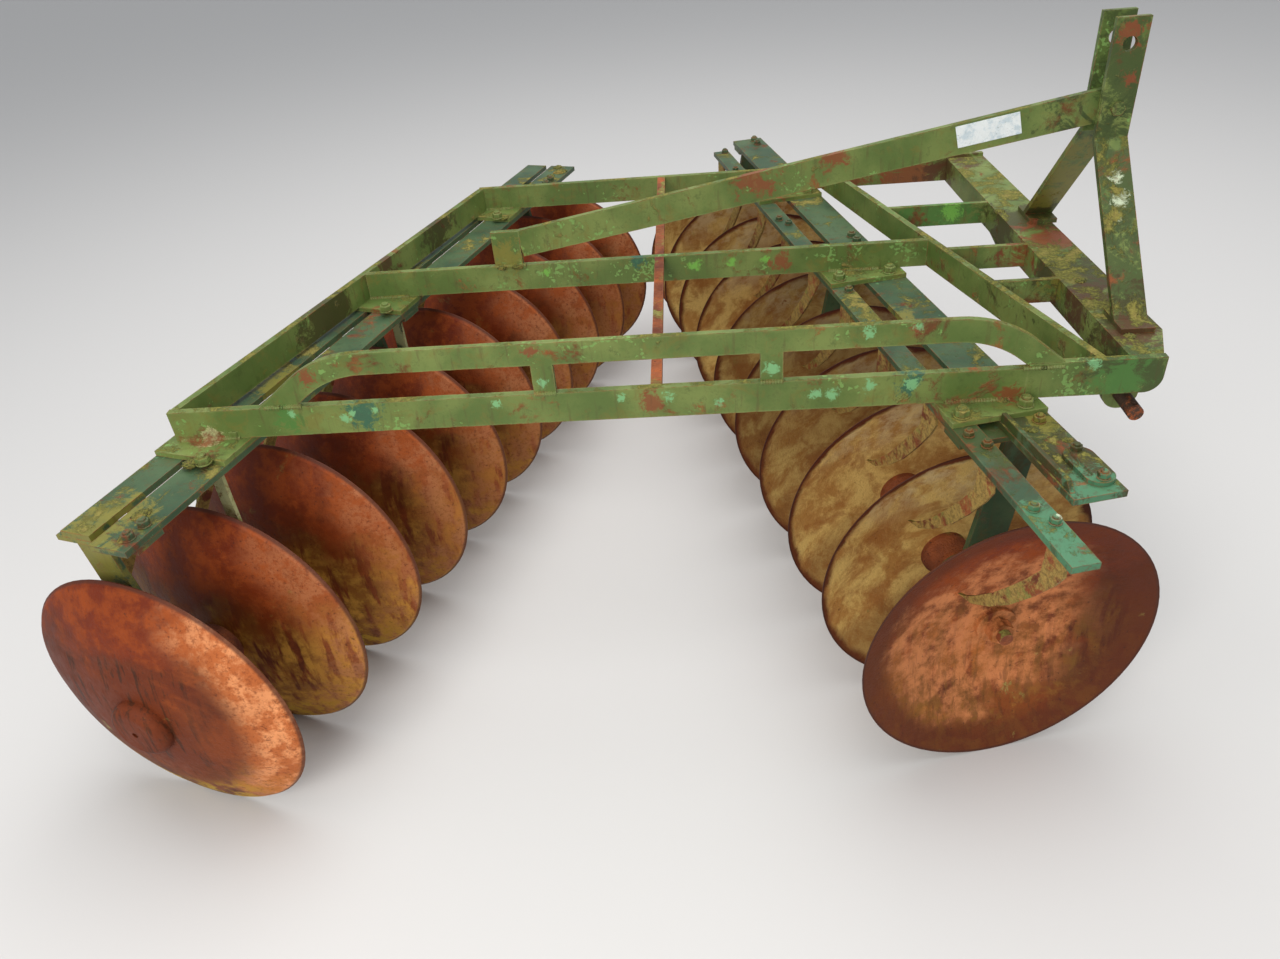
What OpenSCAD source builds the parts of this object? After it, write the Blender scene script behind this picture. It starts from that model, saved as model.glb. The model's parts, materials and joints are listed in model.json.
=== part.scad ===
// Mounted disc harrow: two gangs of ten dished discs set in a V under a welded
// flat-bar frame, with a three-point mast at the front.
// Units are millimetres. +X is forward, +Y is the left side, +Z is up.
// The origin is on the ground under the middle of the machine.

/* [Discs] */
// Diameter of a disc
disc_d = 560; // [500:10:620]
// Thickness of the disc steel
disc_t = 6; // [4:0.5:8]
// Depth of the dish, from the rim plane to the flat centre
disc_dish = 65; // [50:1:75]
// Radius of the flat centre
disc_flat_r = 60; // [50:1:75]
// Width of the ground bevel at the rim
disc_bevel = 9; // [4:1:14]
// Thickness left at the rim by the bevel
disc_edge = 2; // [1:0.5:3]
// Number of discs in a gang
disc_count = 10; // [8:1:10]
// Distance from disc to disc
disc_pitch = 214; // [200:1:240]

/* [Gang shaft] */
// Side of the square gang bolt
bolt_side = 28; // [24:1:34]
// Clearance round the gang bolt in discs and spools
bolt_gap = 0.4; // [0.2:0.1:1]
// Radius of a spool's end flanges
spool_r = 48; // [46:1:58]
// Radius of a plain spool's waist
waist_r = 30; // [26:1:36]
// Radius of a bearing spool's journal
journal_r = 35; // [32:1:40]
// Thickness of a spool's end flanges
flange_t = 12; // [8:1:16]
// Length of the taper from a spool's flange to its middle
spool_taper = 30; // [20:1:40]
// Thickness of the washer in a gang's hollow end
washer_t = 10; // [6:1:14]
// Radius of the washer in a gang's hollow end
washer_r = 38; // [34:1:45]
// Radius of the bolt's round threaded ends
thread_r = 13; // [10:0.5:14]
// Size of the end nut across the flats
nut_af = 41; // [36:1:46]
// Height of the end nut
nut_h = 24; // [18:1:28]
// Length of the bolt beyond its nut
bolt_stub = 14; // [6:1:20]
// Radius of the cast cap on a gang's bulging end
cap_r = 60; // [52:1:64]
// Height of the cap
cap_h = 26; // [22:1:32]
// Radius of the cap's rounded edge
cap_round = 20; // [12:1:20]
// Thickness of the cap in front of the bolt's end
cap_skin = 8; // [5:1:10]
// Radius of the small hole in the cap
cap_hole_r = 6; // [4:0.5:8]

/* [Bearings and hangers] */
// Running clearance of a journal, on the radius
journal_gap = 0.05; // [0.02:0.01:0.1]
// Outer radius of a bearing housing
housing_r = 52; // [48:1:60]
// Length of a bearing housing
housing_l = 70; // [50:2:90]
// Thickness of a hanger plate
hanger_t = 12; // [8:1:16]
// Outer edge of a hanger plate at its top, from the shaft
hanger_out = 95; // [85:1:100]
// Inner edge of a hanger plate at its top, from the shaft, on the outer side too
hanger_in = 30; // [20:1:40]
// Length of a hanger's top flange, along the gang
hanger_foot_l = 60; // [50:2:80]
// Thickness of a hanger's top flange
hanger_foot_t = 10; // [8:1:14]

/* [Front gang] */
// Rim centre of the near disc, along the machine
front_near_x = 738; // [700:1:760]
// Rim centre of the near disc, across the machine
front_near_y = -895; // [-930:1:-860]
// Swing of the shaft from straight across, in degrees
front_swing = 12.1; // [8:0.1:16]
// Middle of the inner beam, from the shaft towards the machine's middle
front_inner_offset = 50; // [40:1:60]
// Width of the inner beam
front_inner_w = 45; // [40:1:60]
// Middle of the outer beam, from the shaft away from the machine's middle
front_outer_offset = 58; // [50:1:70]
// Width of the outer beam
front_outer_w = 90; // [70:1:100]
// Reach of the inner beam past the near disc's rim
front_inner_reach = 205; // [180:1:220]
// Reach of the outer beam past the near disc's rim
front_outer_reach = 65; // [50:1:120]
// How far short of the far disc's rim the inner beam ends
front_inner_short = 86; // [60:1:110]
// How far short of the far disc's rim the outer beam ends
front_outer_short = 1; // [0:1:20]

/* [Rear gang] */
// Rim centre of the near disc, along the machine
rear_near_x = -803; // [-830:1:-770]
// Rim centre of the near disc, across the machine
rear_near_y = -957; // [-990:1:-920]
// Swing of the shaft from straight across, in degrees
rear_swing = -17.5; // [-22:0.1:-12]
// Middle of the inner beam, from the shaft towards the machine's middle
rear_inner_offset = 40; // [36:1:60]
// Width of the inner beam
rear_inner_w = 78; // [60:1:90]
// Middle of the outer beam, from the shaft away from the machine's middle
rear_outer_offset = 48; // [45:1:60]
// Width of the outer beam
rear_outer_w = 62; // [50:1:70]
// How far short of the far disc's rim both beams end
rear_far_short = 15; // [0:1:30]
// Reach of the inner beam past the near disc's rim
rear_inner_reach = 5; // [0:1:30]
// How far short of the near disc's rim the outer beam ends
rear_outer_short = 15; // [0:1:30]

/* [Gang beams] */
// Height of the top of the gang beams
beam_top_z = 650; // [630:1:670]
// Thickness of the gang beams
beam_t = 12; // [8:1:16]
// Length of a saddle plate, along the gang
saddle_l = 130; // [100:5:180]
// Thickness of the saddle plates between beams and frame
saddle_t = 10; // [8:1:14]

/* [Frame] */
// Height of the frame's bars
bar_h = 60; // [50:1:70]
// Thickness of the frame's bars
bar_t = 15; // [10:1:18]
// Place of the near side bar across the machine
near_y = -663; // [-700:1:-620]
// Place of the middle bar across the machine
middle_y = -73; // [-110:1:-30]
// Place of the far side bar across the machine
far_y = 479; // [440:1:520]
// Rear end of the near side bar
near_rear_x = -766; // [-800:1:-720]
// Rear end of the far side bar
far_rear_x = -373; // [-410:1:-330]
// Place of the inner rail at the near side bar
rail_near_x = 909; // [880:1:915]
// Place of the inner rail at the far side bar
rail_far_x = 566; // [540:1:600]
// Place of the front channel's middle at the near side bar
channel_near_x = 998; // [990:1:1010]
// Place of the front channel's middle at the far side bar
channel_far_x = 940; // [925:1:960]
// Width of the front channel
channel_w = 95; // [90:1:110]
// Thickness of the front channel's steel
channel_t = 8; // [6:1:10]
// How far the channel's near front corner is cut back, across the machine
channel_cut = 108; // [80:1:130]
// Where the near end plate starts
end_near_x = 770; // [700:1:800]
// Front end of the near end plate, where the channel's cut corner meets it
end_front_x = 1003; // [990:1:1010]
// Where the far end plate starts
end_far_x = 629; // [610:1:650]
// Extra height of the end plates above the bars
end_rise = 8; // [0:1:15]
// Radius of the end plates' lower front corner
end_round_r = 30; // [20:1:40]
// Height of the links between rail and channel
link_h = 50; // [40:1:56]
// Thickness of the links
link_t = 12; // [8:1:15]
// Place of the rusty tie strip along the machine
strip_x = 125; // [90:1:160]
// Side of the square tie strip
strip_side = 20; // [14:1:26]

/* [Arch bar] */
// Height of the arch bar's flat stock
arch_h = 43; // [36:1:50]
// Thickness of the arch bar
arch_t = 12; // [8:1:15]
// Height of the arch bar's top above the side bar
arch_rise = 100; // [85:1:120]
// Rear foot and rear bend of the arch bar, along the machine
arch_rear_foot_x = -592; // [-610:1:-570]
arch_rear_bend_x = -464; // [-490:1:-440]
// Front bend and front foot of the arch bar, along the machine
arch_front_bend_x = 714; // [690:1:730]
arch_front_foot_x = 834; // [810:1:850]
// Radius of the arch bar's bends, along its middle
arch_bend_r = 195; // [150:5:220]
// Width of the arch bar's posts
post_w = 40; // [30:1:50]

/* [Mast and hitch] */
// Place of the mast along the machine
mast_x = 992; // [980:1:1005]
// Place of the mast across the machine
mast_y = -250; // [-265:1:-235]
// Distance of each leg's foot from the mast's middle
mast_foot = 271; // [250:1:300]
// Width of a mast leg's flat bar
leg_w = 60; // [55:1:75]
// Thickness of a mast leg
leg_t = 12; // [10:1:15]
// Gap between the two uprights for the top link
top_link_gap = 54; // [52:1:60]
// Height of the mast's top
mast_top_z = 1195; // [1150:1:1240]
// Distance of the top-link hole below the mast's top
top_link_drop = 45; // [35:1:60]
// Distance of the brace bolt below the top-link hole
brace_bolt_drop = 110; // [100:1:130]
// Distance of the knee, where the legs turn upright, below the brace bolt
knee_drop = 55; // [45:1:80]
// Radius of the top-link hole
top_link_r = 12.9; // [12.5:0.1:13.5]
// Thickness of the mast's foot plates
mast_foot_t = 10; // [8:1:14]
// Length of the mast's foot plates across the machine
mast_foot_l = 90; // [80:1:100]
// Height of the brace's flat bar
brace_h = 60; // [50:1:65]
// Thickness of the brace
brace_t = 15; // [10:1:18]
// Place of the brace's foot along the machine
brace_foot_x = -219; // [-260:1:-180]
// Width and height of the brace's foot
brace_foot_w = 64; // [50:1:80]
brace_foot_h = 80; // [70:1:90]
// Radius of the brace bolt
brace_bolt_r = 8; // [6:0.5:12]
// Clearance round the brace bolt, on the radius
brace_bolt_gap = 0.2; // [0.1:0.1:0.5]
// Distance from shoulder to shoulder of the lower hitch pins
hitch_span = 683; // [650:1:700]
// Place of the lower hitch pins along the machine
hitch_x = 975; // [970:1:985]
// Height of the lower hitch pins
hitch_z = 612; // [600:1:616]
// Radius of the lower hitch pins
hitch_pin_r = 14; // [11:0.5:14.5]
// Length of a lower hitch pin outside its plate
hitch_pin_l = 72; // [60:1:90]
// Radius of the linchpin hole in a hitch pin
linchpin_r = 5; // [4:0.25:5]
// Thickness of the lower hitch plates
hitch_plate_t = 15; // [12:1:20]
// Radius of a hitch plate's round end
hitch_eye_r = 32; // [26:1:36]

/* [Scrapers] */
// Thickness of a scraper blade
blade_t = 6; // [4:0.5:8]
// Distance of a scraper's root before its disc's rim plane
scraper_root = 160; // [155:1:165]
// Reach of a scraper's tip into the dish, past the rim plane
scraper_reach = 33; // [26:1:34]
// Height of a scraper's tip above the shaft
scraper_tip_z = 122; // [110:1:140]
// Turn of a scraper blade away from the shaft's direction, in degrees
scraper_turn = 9; // [5:1:12]
// Width of the rear gang's flat straps
strap_w = 25; // [20:1:30]
// Distance of the straps from the shaft, across the gang
strap_y = 20; // [18:1:24]
// Thickness of the straps
strap_t = 8; // [6:1:10]
// Gap between the scraping strap's end and its spool
strap_gap = 10; // [6:1:20]

/* [Hidden] */
$fn = 96;
disc_r = disc_d / 2;
frame_top_z = beam_top_z + saddle_t + bar_h;
frame_low_z = frame_top_z - bar_h;
gang_l = (disc_count - 1) * disc_pitch;
// Underside of the gang beams, above the shaft
beam_low_z = beam_top_z - beam_t - disc_r;
top_link_z = mast_top_z - top_link_drop;
brace_bolt_z = top_link_z - brace_bolt_drop;
knee_z = brace_bolt_z - knee_drop;
// Gangs, columns: 0 near disc's x, 1 near disc's y, 2 swing from straight across in degrees,
// 3 dishes face (0: towards the near side, 1: towards the far side),
// 4 inner beam's offset, 5 its width, 6 outer beam's offset, 7 its width,
// 8 and 9 the beams' overhang past the first disc's rim (inner, outer), 10 and 11 past the last one
FRONT = [
    front_near_x, front_near_y, front_swing, 0,
    front_inner_offset, front_inner_w, -front_outer_offset, front_outer_w,
    front_inner_reach, front_outer_reach, -front_inner_short, -front_outer_short
];
REAR = [
    rear_near_x, rear_near_y, rear_swing, 1,
    rear_inner_offset, rear_inner_w, -rear_outer_offset, rear_outer_w,
    -rear_far_short, -rear_far_short, rear_inner_reach, -rear_outer_short
];

// Gaps between discs that hold a bearing
bearing_gaps = [0, floor((disc_count - 2) / 2), disc_count - 2];
// Gap of the rear gang with a spool scraper
strap_gap_index = disc_count - 3;

green = [0.36, 0.46, 0.25];
teal = [0.24, 0.43, 0.35];
rust = [0.50, 0.28, 0.17];
soil = [0.62, 0.53, 0.32];

// Outline of a flat strip of width w along the points p, with mitred corners
function way(p, i) = (p[i + 1] - p[i]) / norm(p[i + 1] - p[i]);
function side_of(d) = [-d[1], d[0]];
function mitre(p, i, s) =
    let (
        a = side_of(way(p, max(i - 1, 0))),
        b = side_of(way(p, min(i, len(p) - 2))),
        m = a + b
    )
    p[i] + m * (s / (m * a));
function strip(p, w) = concat(
    [for (i = [0 : len(p) - 1]) mitre(p, i, w / 2)],
    [for (i = [len(p) - 1 : -1 : 0]) mitre(p, i, -w / 2)]
);

// Place along X of the slanted members at a place y across the machine
function on_slant(y, x_near, x_far) = x_near + (x_far - x_near) * (y - near_y) / (far_y - near_y);
function rear_x(y) = on_slant(y, near_rear_x, far_rear_x);
function rail_x(y) = on_slant(y, rail_near_x, rail_far_x);
function channel_x(y) = on_slant(y, channel_near_x, channel_far_x);
// Half width along X of a slanted member that is w wide
function half_x(w, x_near, x_far) =
    w / 2 * norm([far_y - near_y, x_far - x_near]) / (far_y - near_y);
rear_half = half_x(bar_t, near_rear_x, far_rear_x);
rail_half = half_x(bar_t, rail_near_x, rail_far_x);
channel_half = half_x(channel_w, channel_near_x, channel_far_x);

// Place on the shaft of the ball that the dish is a part of, the ball's radius,
// and where the bevel leaves the rim, measured from the rim plane
ball_x = (disc_flat_r * disc_flat_r + disc_dish * disc_dish - disc_r * disc_r) / (2 * disc_dish);
ball_r = norm([disc_r, ball_x]);
rim_x = ball_x + sqrt(pow(ball_r - disc_t, 2) - disc_r * disc_r) + disc_edge;

// Outermost places of the machine, and the shift that puts the origin under its middle
out_front = channel_x(near_y + channel_cut) + channel_half;
out_rear = REAR[0] - disc_r * cos(REAR[2]) + rim_x * sin(REAR[2]);
out_near = FRONT[1] - FRONT[8] * cos(FRONT[2]) - (FRONT[4] + FRONT[5] / 2) * sin(FRONT[2]);
out_far = FRONT[1] + (gang_l + disc_dish + cap_h - cap_round) * cos(FRONT[2])
    + (cap_r - cap_round) * sin(FRONT[2]) + cap_round;
shift_x = -(out_front + out_rear) / 2;
shift_y = -(out_near + out_far) / 2;

// Draws its children in a gang's own frame: X along the shaft towards the discs' bulge,
// Y towards the middle of the machine, Z up, origin at the first disc's rim centre
module on_gang(g) {
    translate([g[0] + shift_x, g[1] + shift_y, disc_r])
        rotate([0, 0, 90 + g[2]])
            translate([g[3] * gang_l, 0, 0])
                rotate([0, 0, 180 * g[3]])
                    children();
}

// Place along a gang, in its own frame, where a frame bar at y crosses its shaft
function crossing(g, y) =
    let (t = (y - g[1]) / cos(g[2])) g[3] == 1 ? gang_l - t : t;

module on_frame() {
    translate([shift_x, shift_y, 0]) children();
}

// Bar on edge along X at y, flush with the frame's top, cut at each end to the slanted
// member it meets: from and to give the place of those members' faces
module fitted_bar(y, t, h, from, to) {
    a = y - t / 2;
    b = y + t / 2;
    translate([0, 0, frame_top_z - h])
        linear_extrude(h)
            polygon([[from(a), a], [to(a), a], [to(b), b], [from(b), b]]);
}

// Member between the near and far bars, h high, from offset p to offset q beside its line
module slanted(x_near, x_far, p, q, low, h) {
    a = near_y + bar_t / 2;
    b = far_y - bar_t / 2;
    translate([0, 0, low])
        linear_extrude(h)
            polygon([
                [on_slant(a, x_near, x_far) + p, a], [on_slant(a, x_near, x_far) + q, a],
                [on_slant(b, x_near, x_far) + q, b], [on_slant(b, x_near, x_far) + p, b]
            ]);
}

module near_side_bar() {
    color(green) on_frame()
        translate([near_rear_x - rear_half, near_y - bar_t / 2, frame_low_z])
            cube([end_near_x - near_rear_x + rear_half, bar_t, bar_h]);
}

module middle_bar() {
    color(green) on_frame()
        fitted_bar(middle_y, bar_t, bar_h,
            function (y) rear_x(y) + rear_half, function (y) rail_x(y) - rail_half);
}

module far_side_bar() {
    color(green) on_frame()
        translate([far_rear_x - rear_half, far_y - bar_t / 2, frame_low_z])
            cube([end_far_x - far_rear_x + rear_half, bar_t, bar_h]);
}

module rear_member() {
    color(green) on_frame()
        slanted(near_rear_x, far_rear_x, -rear_half, rear_half, frame_low_z, bar_h);
}

module inner_rail() {
    color(green) on_frame()
        slanted(rail_near_x, rail_far_x, -rail_half, rail_half, frame_low_z, bar_h);
}

// Front edge of the channel, cut back at its near corner to meet the near end plate
front_edge = [
    [end_front_x, near_y + bar_t / 2],
    [channel_x(near_y + channel_cut) + channel_half, near_y + channel_cut],
    [channel_x(far_y - bar_t / 2) + channel_half, far_y - bar_t / 2]
];

// The same edge, moved back by t with its ends kept at their places across the machine
function moved_back(p, t) = [
    for (i = [0 : len(p) - 1])
        i == 0 ? p[0] - [t / way(p, 0)[1], 0]
        : i == len(p) - 1 ? p[i] - [t / way(p, i - 1)[1], 0]
        : mitre(p, i, t)
];
function backwards(p) = [for (i = [len(p) - 1 : -1 : 0]) p[i]];

// Channel laid with its web on top and its flanges down
module front_channel() {
    rear_edge = [
        [channel_x(near_y + bar_t / 2) - channel_half, near_y + bar_t / 2],
        [channel_x(far_y - bar_t / 2) - channel_half, far_y - bar_t / 2]
    ];
    color(green) on_frame() {
        translate([0, 0, frame_top_z - channel_t])
            linear_extrude(channel_t)
                polygon(concat(front_edge, backwards(rear_edge)));
        translate([0, 0, frame_low_z])
            linear_extrude(bar_h - channel_t) {
                polygon(concat(front_edge, backwards(moved_back(front_edge, channel_t))));
                polygon(concat(rear_edge, backwards(moved_back(rear_edge, -channel_t))));
            }
    }
}

// End plate on edge, with a round lower front corner
module end_plate(x0, x1, y) {
    translate([0, y + bar_t / 2, 0])
        rotate([90, 0, 0])
            linear_extrude(bar_t)
                union() {
                    translate([x0, frame_low_z])
                        square([x1 - x0 - end_round_r, bar_h + end_rise]);
                    translate([x0, frame_low_z + end_round_r])
                        square([x1 - x0, bar_h + end_rise - end_round_r]);
                    translate([x1 - end_round_r, frame_low_z + end_round_r])
                        circle(r = end_round_r);
                }
}

module end_plates() {
    color(green) on_frame() {
        end_plate(end_near_x, end_front_x, near_y);
        end_plate(end_far_x, channel_far_x + channel_half, far_y);
    }
}

// Short links between the inner rail and the channel
link_places = [133, -132, -313];
module rail_links() {
    color(green) on_frame()
        for (y = link_places)
            fitted_bar(y, link_t, link_h,
                function (y) rail_x(y) + rail_half, function (y) channel_x(y) - channel_half);
}

// Square strip between the three bars, flush with their tops
module tie_strip() {
    color(rust) on_frame()
        for (span = [[near_y, middle_y], [middle_y, far_y]])
            translate([strip_x - strip_side / 2, span[0] + bar_t / 2, frame_top_z - strip_side])
                cube([strip_side, span[1] - span[0] - bar_t, strip_side]);
}

// Bend of the arch bar, drawn at the corner of its middle lines: s is 1 for the front bend and -1
// for the rear one, a is its angle
module bend(x, z, s, a) {
    reach = arch_bend_r * tan(a / 2);
    intersection() {
        translate([x - s * reach, z - arch_bend_r])
            difference() {
                circle(r = arch_bend_r + arch_h / 2);
                circle(r = arch_bend_r - arch_h / 2);
            }
        translate([x - s * reach, z - arch_bend_r])
            polygon([[0, 0], [0, 2 * arch_bend_r], [s * 2 * arch_bend_r * tan(a), 2 * arch_bend_r]]);
    }
}

// Sloping end of the arch bar, from its bend down into the side bar
module slope(x, z, s, a) {
    reach = arch_bend_r * tan(a / 2);
    translate([x, z])
        rotate(-s * a)
            translate([s > 0 ? reach : -reach - 2 * arch_rise, -arch_h / 2])
                square([2 * arch_rise, arch_h]);
}

// Bent bar above the near side bar, with its two posts
post_places = [-73, 329];
module arch_bar() {
    mid_z = frame_top_z + arch_rise - arch_h / 2;
    drop = arch_rise;
    front_a = atan2(drop, arch_front_foot_x - arch_front_bend_x);
    rear_a = atan2(drop, arch_rear_bend_x - arch_rear_foot_x);
    x0 = arch_rear_bend_x + arch_bend_r * tan(rear_a / 2);
    x1 = arch_front_bend_x - arch_bend_r * tan(front_a / 2);
    color(green) on_frame()
        translate([0, near_y + arch_t / 2, 0])
            rotate([90, 0, 0])
                linear_extrude(arch_t) {
                    intersection() {
                        union() {
                            translate([x0, mid_z - arch_h / 2]) square([x1 - x0, arch_h]);
                            bend(arch_front_bend_x, mid_z, 1, front_a);
                            bend(arch_rear_bend_x, mid_z, -1, rear_a);
                            slope(arch_front_bend_x, mid_z, 1, front_a);
                            slope(arch_rear_bend_x, mid_z, -1, rear_a);
                        }
                        polygon([
                            [near_rear_x, frame_top_z], [end_near_x, frame_top_z],
                            [end_near_x, frame_top_z + end_rise], [mast_x, frame_top_z + end_rise],
                            [mast_x, frame_top_z + arch_rise], [near_rear_x, frame_top_z + arch_rise]
                        ]);
                    }
                    for (x = post_places)
                        translate([x - post_w / 2, frame_top_z])
                            square([post_w, arch_rise - arch_h]);
                }
}

// Mast leg: upright at the top and splayed below its knee, s is the side it goes to
module mast_leg(s) {
    y_top = s * (top_link_gap + leg_t) / 2;
    foot_low = frame_top_z + mast_foot_t;
    run = (knee_z - foot_low) / (mast_foot - abs(y_top));
    difference() {
        translate([mast_x - leg_w / 2, mast_y, 0]) {
            rotate([90, 0, 90])
                linear_extrude(leg_w)
                    intersection() {
                        polygon(strip([
                            [s * (mast_foot + 20), foot_low - 20 * run],
                            [y_top, knee_z],
                            [y_top, mast_top_z]
                        ], leg_t));
                        translate([-mast_foot * 2, foot_low])
                            square([mast_foot * 4, mast_top_z - foot_low]);
                    }
            translate([0, s * mast_foot - mast_foot_l / 2, frame_top_z])
                cube([leg_w, mast_foot_l, mast_foot_t]);
        }
        translate([mast_x, mast_y + y_top, top_link_z])
            rotate([90, 0, 0])
                cylinder(r = top_link_r, h = leg_t * 3, center = true);
        translate([mast_x, mast_y + y_top, brace_bolt_z])
            rotate([90, 0, 0])
                cylinder(r = brace_bolt_r + brace_bolt_gap, h = leg_t * 3, center = true);
    }
}

module mast_near_leg() {
    color(green) on_frame() mast_leg(-1);
}

module mast_far_leg() {
    color(green) on_frame() mast_leg(1);
}

// Brace from its foot on the middle bar up to the bolt between the uprights
brace_from = [brace_foot_x + brace_foot_w / 2, middle_y,
    frame_top_z + brace_foot_h - brace_h / 2];
brace_to = [mast_x, mast_y, brace_bolt_z];
brace_run = norm([brace_to[0] - brace_from[0], brace_to[1] - brace_from[1]]);
brace_plan = atan2(brace_to[1] - brace_from[1], brace_to[0] - brace_from[0]);
brace_rise = atan2(brace_to[2] - brace_from[2], brace_run);
module mast_brace() {
    l = brace_run / cos(brace_rise);
    color(green) on_frame()
        difference() {
            translate(brace_from)
                rotate([0, 0, brace_plan])
                    rotate([0, -brace_rise, 0])
                        rotate([90, 0, 0])
                            translate([0, 0, -brace_t / 2])
                                linear_extrude(brace_t) {
                                    translate([0, -brace_h / 2]) square([l, brace_h]);
                                    translate([l, 0]) circle(r = brace_h / 2);
                                }
            translate([brace_foot_x - brace_foot_w / 2, middle_y - brace_foot_w, frame_top_z])
                cube([brace_foot_w, 2 * brace_foot_w, brace_foot_h + brace_h]);
            translate(brace_to)
                rotate([90, 0, 0])
                    cylinder(r = brace_bolt_r + brace_bolt_gap, h = 4 * brace_t, center = true);
        }
}

module brace_foot() {
    color(green) on_frame()
        translate([brace_foot_x - brace_foot_w / 2, middle_y - bar_t / 2, frame_top_z])
            cube([brace_foot_w, bar_t, brace_foot_h]);
}

// Bolt through both uprights and the brace, with a hexagon head and nut
module brace_bolt() {
    outer = top_link_gap / 2 + leg_t;
    color(green) on_frame()
        translate([mast_x, mast_y, brace_bolt_z])
            rotate([90, 0, 0]) {
                cylinder(r = brace_bolt_r, h = 2 * outer + 4, center = true);
                for (s = [-1, 1])
                    translate([0, 0, s * (outer + brace_bolt_r / 2)])
                        cylinder(r = brace_bolt_r * 1.7, h = brace_bolt_r, center = true, $fn = 6);
            }
}

// Lower hitch plate under the channel, with its round end at the pin
module hitch_plate(s) {
    face = mast_y + s * hitch_span / 2;
    x0 = channel_x(face) - channel_half;
    translate([0, face + (s < 0 ? hitch_plate_t : 0), 0])
        rotate([90, 0, 0])
            linear_extrude(hitch_plate_t) {
                polygon([
                    [x0, frame_low_z], [hitch_x + hitch_eye_r, frame_low_z],
                    [hitch_x + hitch_eye_r, hitch_z],
                    [hitch_x - hitch_eye_r * 0.8, hitch_z - hitch_eye_r * 0.6]
                ]);
                translate([hitch_x, hitch_z]) circle(r = hitch_eye_r);
            }
}

module hitch_plates() {
    color(green) on_frame()
        for (s = [-1, 1]) hitch_plate(s);
}

// Lower hitch pins, welded to the outer faces of their plates, with a linchpin hole
module hitch_pins() {
    color(rust) on_frame()
        for (s = [-1, 1])
            translate([hitch_x, mast_y + s * hitch_span / 2, hitch_z])
                rotate([-90 * s, 0, 0])
                    difference() {
                        cylinder(r = hitch_pin_r, h = hitch_pin_l);
                        translate([0, 0, hitch_pin_l - 12])
                            rotate([90, 0, 0])
                                cylinder(r = linchpin_r, h = 4 * hitch_pin_r, center = true);
                    }
}

// The two outer edges of a gang's pair of beams, across the gang
function low_edge(g) = g[6] - g[7] / 2;
function high_edge(g) = g[4] + g[5] / 2;

// Gang beam: flat bar that overhangs the first and the last disc's rims
module beam(g, offset_y, w, over_first, over_last) {
    on_gang(g)
        translate([-over_first, offset_y - w / 2, beam_top_z - beam_t - disc_r])
            cube([gang_l + over_first + over_last, w, beam_t]);
}

module front_inner_beam() {
    color(teal) beam(FRONT, FRONT[4], FRONT[5], FRONT[8], FRONT[10]);
}

module front_outer_beam() {
    color(teal) beam(FRONT, FRONT[6], FRONT[7], FRONT[9], FRONT[11]);
}

module rear_inner_beam() {
    color(teal) beam(REAR, REAR[4], REAR[5], REAR[8], REAR[10]);
}

module rear_outer_beam() {
    color(teal) beam(REAR, REAR[6], REAR[7], REAR[9], REAR[11]);
}

// Plates that join the beams to the frame's three bars
module saddles(g) {
    on_gang(g)
        for (y = [near_y, middle_y, far_y])
            translate([crossing(g, y) - saddle_l / 2, low_edge(g), beam_top_z - disc_r])
                cube([saddle_l, high_edge(g) - low_edge(g), saddle_t]);
}

module front_saddles() {
    color(green) saddles(FRONT);
}

module rear_saddles() {
    color(green) saddles(REAR);
}

// Hanger: top flange from its outer edge to the place inner, tapered plate on the outer side and
// bearing housing in one
module hanger(inner) {
    top = beam_low_z - hanger_foot_t;
    difference() {
        union() {
            translate([-hanger_foot_l / 2, -hanger_out, top])
                cube([hanger_foot_l, hanger_out + inner, hanger_foot_t]);
            translate([-hanger_t / 2, 0, 0])
                rotate([90, 0, 90])
                    linear_extrude(hanger_t)
                        polygon([
                            [-hanger_out, top], [-hanger_in, top],
                            [housing_r * 0.6, 0], [-housing_r * 0.9, 0]
                        ]);
            rotate([0, 90, 0])
                cylinder(r = housing_r, h = housing_l, center = true);
        }
        rotate([0, 90, 0])
            cylinder(r = journal_r + journal_gap, h = housing_l + 2, center = true);
    }
}

// Middle of the gap between disc k and the next, along the gang
function gap_middle(k) = k * disc_pitch + disc_dish + (disc_pitch - disc_t) / 2;

// A hanger's flange reaches under both beams, or under the outer one past the inner one's end
module hangers(g) {
    on_gang(g)
        for (k = bearing_gaps)
            translate([gap_middle(k), 0, 0])
                hanger(gap_middle(k) < gang_l + g[10] ? high_edge(g) : g[6] + g[7] / 2);
}

// Flat strap on edge below the inner beam, down to the height low above the shaft
module strap(k, low) {
    translate([gap_middle(k) - strap_t / 2, strap_y, low])
        cube([strap_t, strap_w, beam_low_z - low]);
}

module front_hangers() {
    color(teal) hangers(FRONT);
}

// The middle hanger has a strap on its inner side too
module rear_hangers() {
    color(teal) {
        hangers(REAR);
        on_gang(REAR) strap(bearing_gaps[1], journal_r + strap_gap / 2);
    }
}

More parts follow.
